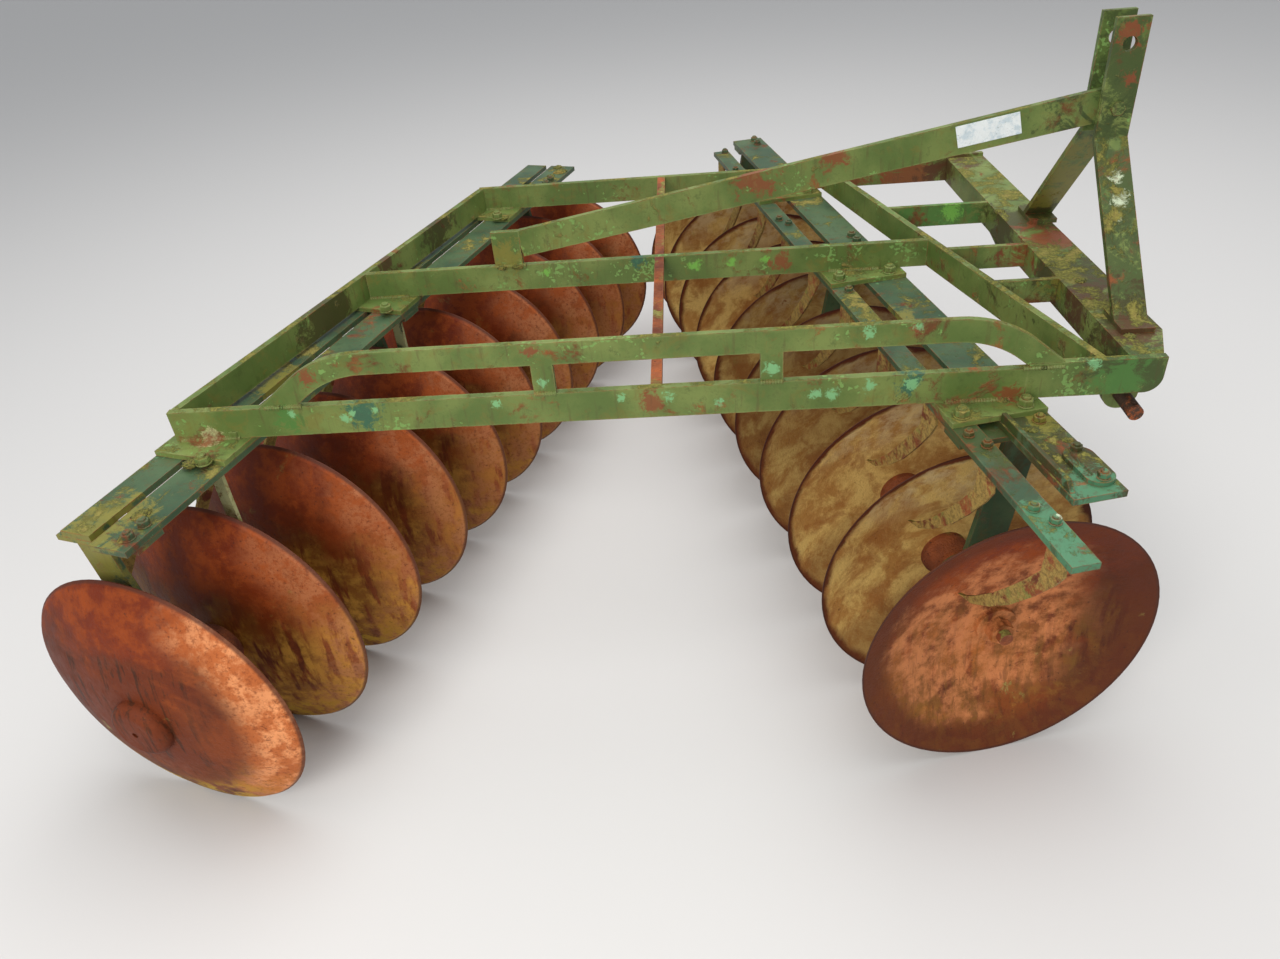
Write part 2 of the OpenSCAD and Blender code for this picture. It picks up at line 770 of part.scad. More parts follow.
// Scraper: a curved pointed plate on edge below a beam, reaching into the disc's hollow face.
// Its outline from root to tip, columns: 0 part of the run, 1 and 2 part of the drop at the
// upper edge, 3 and 4 the same at the lower edge
scraper_shape = [
    [0.10, 0, -0.10, 0],
    [0.11, 0.20, -0.12, 0.12],
    [0.25, 0.37, -0.05, 0.23],
    [0.42, 0.55, 0.15, 0.46],
    [0.60, 0.73, 0.36, 0.67],
    [0.81, 0.90, 0.58, 0.84],
    [0.92, 0.97, 0.81, 0.97]
];
module scraper(y) {
    run = scraper_root + scraper_reach;
    drop = beam_low_z - scraper_tip_z;
    translate([-scraper_root, y, beam_low_z])
        rotate([0, 0, scraper_turn * sign(y)])
            translate([0, blade_t / 2, 0])
                rotate([90, 0, 0])
                    linear_extrude(blade_t)
                        polygon(concat(
                            [for (c = scraper_shape) [c[0] * run, -c[1] * drop]],
                            [[run, -drop]],
                            backwards([for (c = scraper_shape) [c[2] * run, -c[3] * drop]])
                        ));
}

// Scrapers of all discs from the first one on, below the edge of a beam
module scrapers(g, first, edge) {
    on_gang(g)
        for (k = [first : disc_count - 1])
            translate([k * disc_pitch, 0, 0]) scraper(edge);
}

module front_scrapers() {
    color(rust) scrapers(FRONT, 0, high_edge(FRONT) - blade_t);
}

// The rear gang's discs are scraped from their rear side, and one spool has a strap as scraper
module rear_scrapers() {
    color(rust) {
        scrapers(REAR, 1, low_edge(REAR) + blade_t);
        on_gang(REAR) strap(strap_gap_index, waist_r + strap_gap);
    }
}

// Where the bevel starts on the bulging face
bevel_from = [disc_r, 0] + disc_bevel * [ball_x, disc_r] / ball_r;

// Disc with its shaft along X, its rim at x = 0 and its flat centre at x = disc_dish
module disc() {
    hole = bolt_side + 2 * bolt_gap;
    difference() {
        rotate([0, 90, 0])
            rotate_extrude($fn = 128)
                difference() {
                    union() {
                        translate([0, disc_dish - disc_t]) square([disc_flat_r, disc_t]);
                        intersection() {
                            translate([0, ball_x])
                                difference() {
                                    circle(r = ball_r, $fn = 360);
                                    circle(r = ball_r - disc_t, $fn = 360);
                                }
                            translate([disc_flat_r - 1, -disc_t * 2])
                                square([disc_r - disc_flat_r + 1, disc_dish + disc_t * 2]);
                        }
                    }
                    polygon([
                        [disc_r, rim_x], [disc_r + disc_bevel, rim_x], [disc_r + disc_bevel, disc_bevel],
                        bevel_from + [disc_bevel, disc_bevel], bevel_from
                    ]);
                }
        cube([4 * disc_dish, hole, hole], center = true);
    }
}

module discs(g) {
    on_gang(g)
        for (k = [0 : disc_count - 1])
            translate([k * disc_pitch, 0, 0]) disc();
}

module front_discs() {
    color(soil) discs(FRONT);
}

module rear_discs() {
    color(rust) discs(REAR);
}

// Spool between two discs, with its shaft along X, r is the radius of its middle part
module spool(r) {
    l = disc_pitch - disc_t;
    hole = bolt_side + 2 * bolt_gap;
    difference() {
        rotate([0, 90, 0])
            rotate_extrude()
                polygon([
                    [0, 0], [spool_r, 0], [spool_r, flange_t], [r, flange_t + spool_taper],
                    [r, l - flange_t - spool_taper], [spool_r, l - flange_t], [spool_r, l], [0, l]
                ]);
        translate([-1, -hole / 2, -hole / 2]) cube([l + 2, hole, hole]);
    }
}

module spools(g) {
    on_gang(g)
        for (k = [0 : disc_count - 2])
            translate([k * disc_pitch + disc_dish, 0, 0])
                spool(len(search(k, bearing_gaps)) > 0 ? journal_r : waist_r);
}

module front_spools() {
    color(rust) spools(FRONT);
}

module rear_spools() {
    color(rust) spools(REAR);
}

// Square gang bolt with round threaded ends, one through washer and nut and one in the cap
bolt_first = disc_dish - disc_t - washer_t - nut_h - bolt_stub;
module gang_bolt(g) {
    square_from = disc_dish - disc_t;
    square_to = gang_l + disc_dish;
    on_gang(g) {
        translate([square_from, -bolt_side / 2, -bolt_side / 2])
            cube([square_to - square_from, bolt_side, bolt_side]);
        translate([bolt_first, 0, 0])
            rotate([0, 90, 0])
                cylinder(r = thread_r, h = square_to + cap_h - cap_skin - bolt_first);
    }
}

module front_gang_bolt() {
    color(rust) gang_bolt(FRONT);
}

module rear_gang_bolt() {
    color(rust) gang_bolt(REAR);
}

// Washer and nut, drawn outwards along X
module end_nut() {
    rotate([0, 90, 0])
        difference() {
            union() {
                cylinder(r = washer_r, h = washer_t);
                translate([0, 0, washer_t])
                    cylinder(r = nut_af / sqrt(3), h = nut_h, $fn = 6);
            }
            translate([0, 0, -1])
                cylinder(r = thread_r + bolt_gap, h = washer_t + nut_h + 2);
        }
}

// Round cap over the bolt's end, drawn outwards along X
module cap() {
    rotate([0, 90, 0])
        rotate_extrude()
            difference() {
                intersection() {
                    square([cap_r, cap_h]);
                    union() {
                        square([cap_r - cap_round, cap_h]);
                        square([cap_r, cap_h - cap_round]);
                        translate([cap_r - cap_round, cap_h - cap_round]) circle(r = cap_round);
                    }
                }
                square([thread_r + bolt_gap, cap_h - cap_skin]);
                square([cap_hole_r, cap_h + 1]);
            }
}

module end_nuts(g) {
    on_gang(g) {
        translate([disc_dish - disc_t, 0, 0]) rotate([0, 0, 180]) end_nut();
        translate([gang_l + disc_dish, 0, 0]) cap();
    }
}

module front_end_nuts() {
    color(rust) end_nuts(FRONT);
}

module rear_end_nuts() {
    color(rust) end_nuts(REAR);
}

near_side_bar();
middle_bar();
far_side_bar();
rear_member();
inner_rail();
front_channel();
end_plates();
rail_links();
tie_strip();
arch_bar();
mast_near_leg();
mast_far_leg();
mast_brace();
brace_foot();
brace_bolt();
hitch_plates();
hitch_pins();
front_inner_beam();
front_outer_beam();
front_saddles();
front_hangers();
front_scrapers();
rear_inner_beam();
rear_outer_beam();
rear_saddles();
rear_hangers();
rear_scrapers();
front_discs();
front_spools();
front_gang_bolt();
front_end_nuts();
rear_discs();
rear_spools();
rear_gang_bolt();
rear_end_nuts();
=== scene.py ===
# %% [markdown]
# # A weathered disc harrow
# The harrow is a flat-bar frame that carries two gangs of dished discs. Its solids come from
# the imported model, which stays fixed. This lesson gives them their looks: paint that has
# faded, chipped and grown moss, and disc steel that has rusted for years.
# The first step loads the model.

# %% Load the imported model
import bpy
import json
import math
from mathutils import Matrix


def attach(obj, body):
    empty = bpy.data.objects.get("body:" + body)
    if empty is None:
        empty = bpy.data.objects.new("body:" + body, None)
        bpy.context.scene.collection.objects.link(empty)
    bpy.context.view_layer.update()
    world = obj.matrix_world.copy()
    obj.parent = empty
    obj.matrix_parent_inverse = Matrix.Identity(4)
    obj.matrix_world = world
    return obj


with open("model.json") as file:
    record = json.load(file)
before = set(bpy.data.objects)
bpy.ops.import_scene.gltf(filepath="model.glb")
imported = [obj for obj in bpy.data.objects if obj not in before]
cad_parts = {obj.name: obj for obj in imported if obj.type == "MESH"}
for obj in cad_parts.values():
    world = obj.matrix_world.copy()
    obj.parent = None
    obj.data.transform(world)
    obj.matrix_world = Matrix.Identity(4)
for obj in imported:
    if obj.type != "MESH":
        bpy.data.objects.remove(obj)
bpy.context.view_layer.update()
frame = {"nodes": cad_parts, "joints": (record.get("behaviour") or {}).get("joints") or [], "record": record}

from types import SimpleNamespace
from mathutils import Matrix, Vector

scene = bpy.context.scene

# %% [markdown]
# ## The camera
# The machine was seen from above its near side, looking down across it. A camera is placed by
# three unit vectors: where its right, its top and its back point. They are worked out from
# the heading, the pitch and the roll, because three typed angles would be harder to check.

# %% Place the camera
EYE = Vector((0.21427, -2.13769, 1.57746))
HEADING = math.radians(4.57)
PITCH = math.radians(35.388)
ROLL = math.radians(-5.304)
FOCAL_SHARE = 962.64 / 1280
SENSOR_MM = 36.0

level_right = Vector((math.cos(HEADING), math.sin(HEADING), 0))
ahead = Vector((-math.sin(HEADING) * math.cos(PITCH), math.cos(HEADING) * math.cos(PITCH),
                -math.sin(PITCH)))
level_up = level_right.cross(ahead)
right = math.cos(ROLL) * level_right + math.sin(ROLL) * level_up
up = -math.sin(ROLL) * level_right + math.cos(ROLL) * level_up

bpy.ops.object.camera_add()
camera = bpy.context.object
camera.matrix_world = Matrix((
    (right.x, up.x, -ahead.x, EYE.x),
    (right.y, up.y, -ahead.y, EYE.y),
    (right.z, up.z, -ahead.z, EYE.z),
    (0, 0, 0, 1)))
camera.data.sensor_width = SENSOR_MM
camera.data.lens = FOCAL_SHARE * SENSOR_MM
camera.data.clip_end = 200
scene.camera = camera
print("lens", round(camera.data.lens, 3))

# %% [markdown]
# ## Floor and light
# The harrow stands on its discs on a plain pale floor. The light is that of a large soft
# studio: a bright world all round, one big lamp above and one beside the camera. Small or
# strong lamps would cut hard shadows, and dull daylight has none.

# %% Lay the floor and hang the lamps
scene.view_settings.view_transform = "Standard"

bpy.ops.mesh.primitive_plane_add(size=80, location=(0, 0, 0))
floor = bpy.context.object
floor.name = "floor"

floor_paint = bpy.data.materials.new("studio_floor")
floor_paint.use_nodes = True
floor_shader = floor_paint.node_tree.nodes["Principled BSDF"]
floor_shader.inputs["Base Color"].default_value = (0.62, 0.61, 0.60, 1)
floor_shader.inputs["Roughness"].default_value = 0.75
floor.data.materials.append(floor_paint)

world = bpy.data.worlds.new("soft_daylight")
scene.world = world
world.use_nodes = True
sky = world.node_tree.nodes["Background"]
sky.inputs["Color"].default_value = (0.93, 0.96, 1.0, 1)
sky.inputs["Strength"].default_value = 0.55


def hang_lamp(name, place, aim, size, watts, tint):
    """Hangs a square soft lamp at a place and points it at another."""
    bpy.ops.object.light_add(type="AREA", location=place)
    lamp = bpy.context.object
    lamp.name = name
    lamp.rotation_euler = (Vector(aim) - Vector(place)).to_track_quat("-Z", "Y").to_euler()
    lamp.data.size = size
    lamp.data.energy = watts
    lamp.data.color = tint
    return lamp


hang_lamp("overhead_lamp", (0.5, 0.5, 4.5), (0, 0, 0), 5.0, 190, (1.0, 0.99, 0.97))
hang_lamp("camera_lamp", (-1.2, -4.2, 2.8), (0, -0.2, 0.4), 2.2, 120, (1.0, 0.97, 0.93))

# %% [markdown]
# ## Tools for building finishes
# A finish is a tree of nodes. The next helpers add one node each, with its options and its
# inputs, so that a finish reads like a recipe. Colours are written as they would be read off
# a paint card, from 0 to 255, and are turned into the linear values that nodes work in.


# %% Small helpers for nodes
def card(red, green, blue):
    """A paint card's colour as the linear colour that a node takes."""
    parts = [c / 255 for c in (red, green, blue)]
    return (*[c / 12.92 if c <= 0.04045 else ((c + 0.055) / 1.055) ** 2.4 for c in parts], 1.0)


def put(tree, kind, inputs=None, **options):
    """Adds a node. An input given as a socket is linked, any other value is set."""
    made = tree.nodes.new(kind)
    for option, value in options.items():
        setattr(made, option, value)
    for key, value in (inputs or {}).items():
        if isinstance(value, bpy.types.NodeSocket):
            tree.links.new(value, made.inputs[key])
        else:
            made.inputs[key].default_value = value
    return made


def sum_up(tree, operation, first, second=0.0, clamp=False):
    """One step of arithmetic between two numbers or sockets."""
    return put(tree, "ShaderNodeMath", {0: first, 1: second}, operation=operation,
               use_clamp=clamp).outputs[0]


def blotch(tree, place, size, detail=4.0, rough=0.6, warp=0.0):
    """Cloudy noise whose blotches are about size metres across."""
    return put(tree, "ShaderNodeTexNoise",
               {"Vector": place, "Scale": 1 / size, "Detail": detail, "Roughness": rough,
                "Distortion": warp}).outputs[0]


def cut(tree, value, low, high):
    """A mask that rises smoothly from 0 at low to 1 at high."""
    return put(tree, "ShaderNodeMapRange", {0: value, 1: low, 2: high, 3: 0.0, 4: 1.0},
               interpolation_type="SMOOTHSTEP").outputs[0]


def times(tree, first, second):
    """Two numbers multiplied."""
    return sum_up(tree, "MULTIPLY", first, second)


def plus(tree, first, second):
    """Two numbers added."""
    return sum_up(tree, "ADD", first, second)


def lay_over(tree, mask, under, over, share=None):
    """The colour over covers the colour under where the mask is 1, or covers a share of it."""
    if share is not None:
        mask = times(tree, mask, share)
    return put(tree, "ShaderNodeMix", {0: mask, 6: under, 7: over}, data_type="RGBA").outputs[2]


def both(tree, *masks):
    """Masks multiplied, so that what they have in common is left."""
    found = masks[0]
    for mask in masks[1:]:
        found = sum_up(tree, "MULTIPLY", found, mask, clamp=True)
    return found


def ramp(tree, value, low, high, start, end):
    """A number that goes evenly from start to end while the value goes from low to high."""
    return put(tree, "ShaderNodeMapRange",
               {0: value, 1: low, 2: high, 3: start, 4: end}).outputs[0]


def stretch(tree, place, factors):
    """Squeezes the pattern's place by a factor on each axis, so a small factor draws it out."""
    return put(tree, "ShaderNodeMapping", {"Vector": place, "Scale": factors}).outputs[0]


def new_group(name, inputs, outputs):
    """An empty node group with named sockets, and the sockets of its two ends."""
    group = bpy.data.node_groups.new(name, "ShaderNodeTree")
    for label, kind, value in inputs:
        made = group.interface.new_socket(label, in_out="INPUT", socket_type=kind)
        if value is not None:
            made.default_value = value
    for label, kind in outputs:
        group.interface.new_socket(label, in_out="OUTPUT", socket_type=kind)
    return group, group.nodes.new("NodeGroupInput").outputs, group.nodes.new("NodeGroupOutput")


def give(group, end, **results):
    """Links results to the group's outputs by name."""
    for label, socket in results.items():
        group.links.new(socket, end.inputs[label])


def use(tree, group, **inputs):
    """Places a node group in a material with its own values, and returns its outputs."""
    return put(tree, "ShaderNodeGroup", inputs, node_tree=group).outputs


def start_finish(name):
    """A new material: itself, its tree, and the place and the normal on the object."""
    material = bpy.data.materials.new(name)
    material.use_nodes = True
    source = put(material.node_tree, "ShaderNodeTexCoord").outputs
    return material, material.node_tree, source["Object"], source["Normal"]


def end_finish(material, colour, rough, height, depth, strength=1.0, shine=None):
    """Joins a finish to its shader. The height makes a bump of the given depth in metres, and
    a shine is set on the shader's own socket."""
    tree = material.node_tree
    shader = tree.nodes["Principled BSDF"].inputs
    bump = put(tree, "ShaderNodeBump",
               {"Height": height, "Distance": depth, "Strength": strength}).outputs[0]
    tree.links.new(colour, shader["Base Color"])
    tree.links.new(bump, shader["Normal"])
    if isinstance(rough, bpy.types.NodeSocket):
        tree.links.new(rough, shader["Roughness"])
    else:
        shader["Roughness"].default_value = rough
    if shine is not None:
        shader["Specular IOR Level"].default_value = shine
    return material


RAGGED_SIZES = {0.012: 0.011, 0.022: 0.015, 0.045: 0.023, 0.08: 0.037, 1.0: 0.072}


def near_to(tree, place, centre, reach):
    """A mask that is 1 round a point of the machine and fades out at reach metres from it. Its
    ragged outline comes in a few sizes only, because each new size of noise takes time."""
    away = put(tree, "ShaderNodeVectorMath", {0: place, 1: centre},
               operation="DISTANCE").outputs["Value"]
    size = next(size for most, size in RAGGED_SIZES.items() if reach <= most)
    ragged = times(tree, blotch(tree, place, size, detail=8.0, rough=0.8, warp=0.6),
                   reach * 4.5)
    return cut(tree, plus(tree, away, ragged), reach * 3.1, reach * 2.7)


NUMBER, COLOUR, PLACE = "NodeSocketFloat", "NodeSocketColor", "NodeSocketVector"
DULL_SHINE, DISC_SHINE = 0.3, 0.18
print("helpers ready")

# %% [markdown]
# ## Effect: worn edges and edge highlight
# Paint goes first from the edges of a bar, where chains and hands rub it. The Bevel node bends the normal
# near an edge, so the difference between that normal and the plain one marks a thin line along each edge.
# Noise breaks the line up, as real wear is uneven. The same line also lays a painted highlight along the
# paint's edges.

# %% Worn edges and edge highlight
edge_wear_and_highlight, given, end = new_group(
    "edge_wear_and_highlight", [("Place", PLACE, None), ("Width", NUMBER, 0.004), ("Uneven", NUMBER, 0.5)],
    [("Mask", NUMBER)])
bent = put(edge_wear_and_highlight, "ShaderNodeBevel", {"Radius": given["Width"]}, samples=4).outputs[0]
plain = put(edge_wear_and_highlight, "ShaderNodeNewGeometry").outputs["Normal"]
agree = put(edge_wear_and_highlight, "ShaderNodeVectorMath", {0: bent, 1: plain},
            operation="DOT_PRODUCT").outputs["Value"]
edge_line = cut(edge_wear_and_highlight, sum_up(edge_wear_and_highlight, "SUBTRACT", 1.0, agree), 0.01, 0.16)
edge_noise = blotch(edge_wear_and_highlight, given["Place"], 0.03, detail=6.0, rough=0.7)
edge_gate = cut(edge_wear_and_highlight, edge_noise, sum_up(edge_wear_and_highlight, "SUBTRACT", given["Uneven"], 0.12),
                plus(edge_wear_and_highlight, given["Uneven"], 0.05))
give(edge_wear_and_highlight, end, Mask=both(edge_wear_and_highlight, edge_line, edge_gate))
print("group", edge_wear_and_highlight.name)

# %% [markdown]
# ## Effect: rust
# Rust is not one brown. It is dark where it is old and thick, and orange where it is fresh.
# A broad and a fine noise choose between the tones. The fine one and a still finer grain
# give the pits that catch the light. One noise alone would look like camouflage.

# %% Rust tones
rust_tones, given, end = new_group(
    "rust_tones", [("Place", PLACE, None), ("Fresh", NUMBER, 0.5)],
    [("Color", COLOUR), ("Height", NUMBER)])
place = given["Place"]
broad = blotch(rust_tones, place, 0.11, detail=5.0, rough=0.62, warp=0.6)
speckle = blotch(rust_tones, place, 0.012, detail=4.0, rough=0.7)
grain = blotch(rust_tones, place, 0.0035, detail=2.0, rough=0.6)
tone = lay_over(rust_tones, cut(rust_tones, broad, 0.38, 0.62), card(98, 48, 28),
                card(142, 76, 40))
fresh_gate = plus(rust_tones, times(rust_tones, speckle, 0.55), times(rust_tones, broad, 0.5))
fresh_mask = cut(rust_tones, fresh_gate, sum_up(rust_tones, "SUBTRACT", 0.98, given["Fresh"]),
                 sum_up(rust_tones, "SUBTRACT", 1.14, given["Fresh"]))
tone = lay_over(rust_tones, fresh_mask, tone, card(178, 92, 40))
tone = lay_over(rust_tones, cut(rust_tones, speckle, 0.60, 0.70), tone, card(58, 33, 26))
give(rust_tones, end, Color=tone,
     Height=plus(rust_tones, times(rust_tones, speckle, 0.7), grain))
print("group", rust_tones.name)

# %% [markdown]
# ## Effect: moss
# Moss settles where water stays: on faces that look up and in rough corners. A noise mask
# is raised where the object's own normal points up, and a fine noise breaks it into tufts.
# Old patches turn paler and yellow, which the same broad noise decides.

# %% Moss
moss_growth, given, end = new_group(
    "moss_growth", [("Place", PLACE, None), ("Amount", NUMBER, 0.4), ("Lift", NUMBER, 0.15)],
    [("Color", COLOUR), ("Mask", NUMBER), ("Height", NUMBER)])
place = given["Place"]
facing = put(moss_growth, "ShaderNodeSeparateXYZ",
             {0: put(moss_growth, "ShaderNodeTexCoord").outputs["Normal"]}).outputs["Z"]
patches = blotch(moss_growth, place, 0.085, detail=8.0, rough=0.68, warp=0.4)
tuft = blotch(moss_growth, place, 0.006, detail=3.0, rough=0.7)
faces_up = cut(moss_growth, facing, 0.2, 0.9)
raised = plus(moss_growth, patches, times(moss_growth, faces_up, given["Lift"]))
thick = plus(moss_growth, raised, times(moss_growth, tuft, 0.12))
needed = sum_up(moss_growth, "SUBTRACT", 1.06, given["Amount"])
mask = cut(moss_growth, thick, needed, plus(moss_growth, needed, 0.1))
moss = lay_over(moss_growth, cut(moss_growth, tuft, 0.35, 0.65), card(84, 84, 36),
                card(128, 126, 56))
moss = lay_over(moss_growth, cut(moss_growth, patches, 0.55, 0.75), moss, card(150, 134, 74))
give(moss_growth, end, Color=moss, Mask=mask, Height=tuft)
print("group", moss_growth.name)

# %% [markdown]
# ## Effect: chipped paint
# The frame was painted more than once. Where the top coat has flaked, an older and brighter
# coat shows in clusters of small sharp chips. Cells give the sharp outlines, and a broad
# noise gathers them into clusters.

# %% Chipped paint
paint_chips, given, end = new_group(
    "paint_chips", [("Place", PLACE, None), ("Amount", NUMBER, 0.4), ("Size", NUMBER, 0.02)],
    [("Mask", NUMBER)])
place = given["Place"]
wobble = put(paint_chips, "ShaderNodeVectorMath",
             {0: put(paint_chips, "ShaderNodeTexNoise",
                     {"Vector": place, "Scale": 60.0, "Detail": 3.0}).outputs["Color"],
              1: (0.012, 0.012, 0.012)}, operation="MULTIPLY").outputs[0]
moved = put(paint_chips, "ShaderNodeVectorMath", {0: place, 1: wobble},
            operation="ADD").outputs[0]
cells = put(paint_chips, "ShaderNodeTexVoronoi",
            {"Vector": moved, "Scale": sum_up(paint_chips, "DIVIDE", 1.0, given["Size"])},
            feature="F1").outputs["Color"]
pick = put(paint_chips, "ShaderNodeSeparateColor", {0: cells}).outputs[0]
gather = blotch(paint_chips, place, 0.12, detail=6.0, rough=0.7)
chance = plus(paint_chips, times(paint_chips, pick, 0.28), gather)
line = sum_up(paint_chips, "SUBTRACT", 1.12, given["Amount"])
give(paint_chips, end, Mask=cut(paint_chips, chance, line, plus(paint_chips, line, 0.02)))
print("group", paint_chips.name)

# %% [markdown]
# ## Finish: weathered paint
# The frame is a faded olive green, and the gang beams are a deeper green. Both finishes are the same recipe
# with other values, so one function lays them down in the order in which they happened: paint, fading,
# chips, marks, rust, worn edges, streaks and moss. A pale line along the edges, laid after the chips, is a
# painted highlight, and some marks are painted shade and painted glints.


# %% Weathered paint
def weathered_paint(name, coat, faded, ochre, edge, chip, chips, rust, moss_amount, wear,
                    marks=()):
    """Old paint that has faded and turned ochre in spots, with chips of an earlier coat, pale edges that are
    a painted highlight, rust patches and moss. Each mark is a tone, a place on the machine and a reach."""
    material, tree, place, _ = start_finish(name)
    fading = blotch(tree, place, 0.16, detail=6.0, rough=0.65)
    grime = blotch(tree, place, 0.02, detail=5.0, rough=0.75)
    colour = lay_over(tree, cut(tree, fading, 0.40, 0.62), coat, faded)
    dull = tuple(c * 0.45 for c in coat[:3]) + (1.0,)
    colour = lay_over(tree, cut(tree, grime, 0.5, 0.74), colour, dull, 0.55)
    mottle = blotch(tree, place, 0.045, detail=5.0, rough=0.7, warp=0.5)
    colour = lay_over(tree, cut(tree, mottle, 0.52, 0.68), colour, ochre, 0.45)
    chipped = use(tree, paint_chips, Place=place, Amount=chips, Size=0.006)["Mask"]
    colour = lay_over(tree, chipped, colour, chip, 0.8)
    # painted highlight: the edge tone laid as a pale line along the paint's edges, where light catches them
    edge_highlight = use(tree, edge_wear_and_highlight, Place=place, Width=0.005, Uneven=0.42)["Mask"]
    colour = lay_over(tree, edge_highlight, colour, edge, 0.5)
    # the marks lay stains, chips and moss, and also painted shade and painted glints
    for tone, centre, reach in sorted(marks, key=lambda mark: -mark[2]):
        colour = lay_over(tree, near_to(tree, place, centre, reach), colour, tone, 0.85)
    tones = use(tree, rust_tones, Place=place, Fresh=0.42)
    patch_noise = blotch(tree, place, 0.10, detail=9.0, rough=0.72, warp=0.3)
    patch = cut(tree, patch_noise, 0.98 - rust, 1.08 - rust)
    patch = times(tree, patch, 0.85)
    worn = use(tree, edge_wear_and_highlight, Place=place, Width=0.003, Uneven=wear)["Mask"]
    bare = sum_up(tree, "MAXIMUM", patch, worn)
    colour = lay_over(tree, bare, colour, tones["Color"])
    drawn = stretch(tree, place, (1.0, 1.0, 0.12))
    drip = cut(tree, blotch(tree, drawn, 0.012, detail=3.0), 0.56, 0.72)
    colour = lay_over(tree, drip, colour, card(84, 60, 38), 0.35)
    moss = use(tree, moss_growth, Place=place, Amount=moss_amount, Lift=0.13)
    colour = lay_over(tree, moss["Mask"], colour, moss["Color"])
    rough = lay_over(tree, bare, (0.48, 0.48, 0.48, 1), (0.85, 0.85, 0.85, 1))
    rough = lay_over(tree, moss["Mask"], rough, (0.95, 0.95, 0.95, 1))
    pitted = times(tree, both(tree, bare, tones["Height"]), 0.6)
    height = plus(tree, times(tree, grime, 0.25), pitted)
    height = sum_up(tree, "SUBTRACT", height, times(tree, chipped, 0.25))
    height = plus(tree, height, times(tree, both(tree, moss["Mask"], moss["Height"]), 2.4))
    return end_finish(material, colour, rough, height, 0.0022, 0.85, DULL_SHINE)


print("recipe", weathered_paint.__name__)

# %% [markdown]
# ## Where the paint's marks lie
# Noise puts chips and rust anywhere, but the real machine has patches that can be told apart: a mint chip
# here, a rusty corner there. Each mark is a tone, a place in metres and a reach. The broad ones are laid
# first, so that small chips stay on top of a stain. Some tones are painted light. The shaded tone is painted
# shade on the near leg, the mast and parts of the bars. The fleck tone is painted glints. The soil tone is
# soil and moss, and also painted shade on the rear member.

# %% Paint the frame and the beams
MINT, DEEP, BRIGHT = card(122, 178, 122), card(44, 92, 74), card(74, 118, 54)
RUST_RED, RUST_DARK, LICHEN = card(128, 66, 38), card(82, 54, 34), card(184, 184, 132)
# the fleck tone is a painted highlight: small pale glints on the near leg and on two bolts of the front beam
MOSSY, PAINTED_GLINT = card(122, 116, 48), card(196, 208, 176)
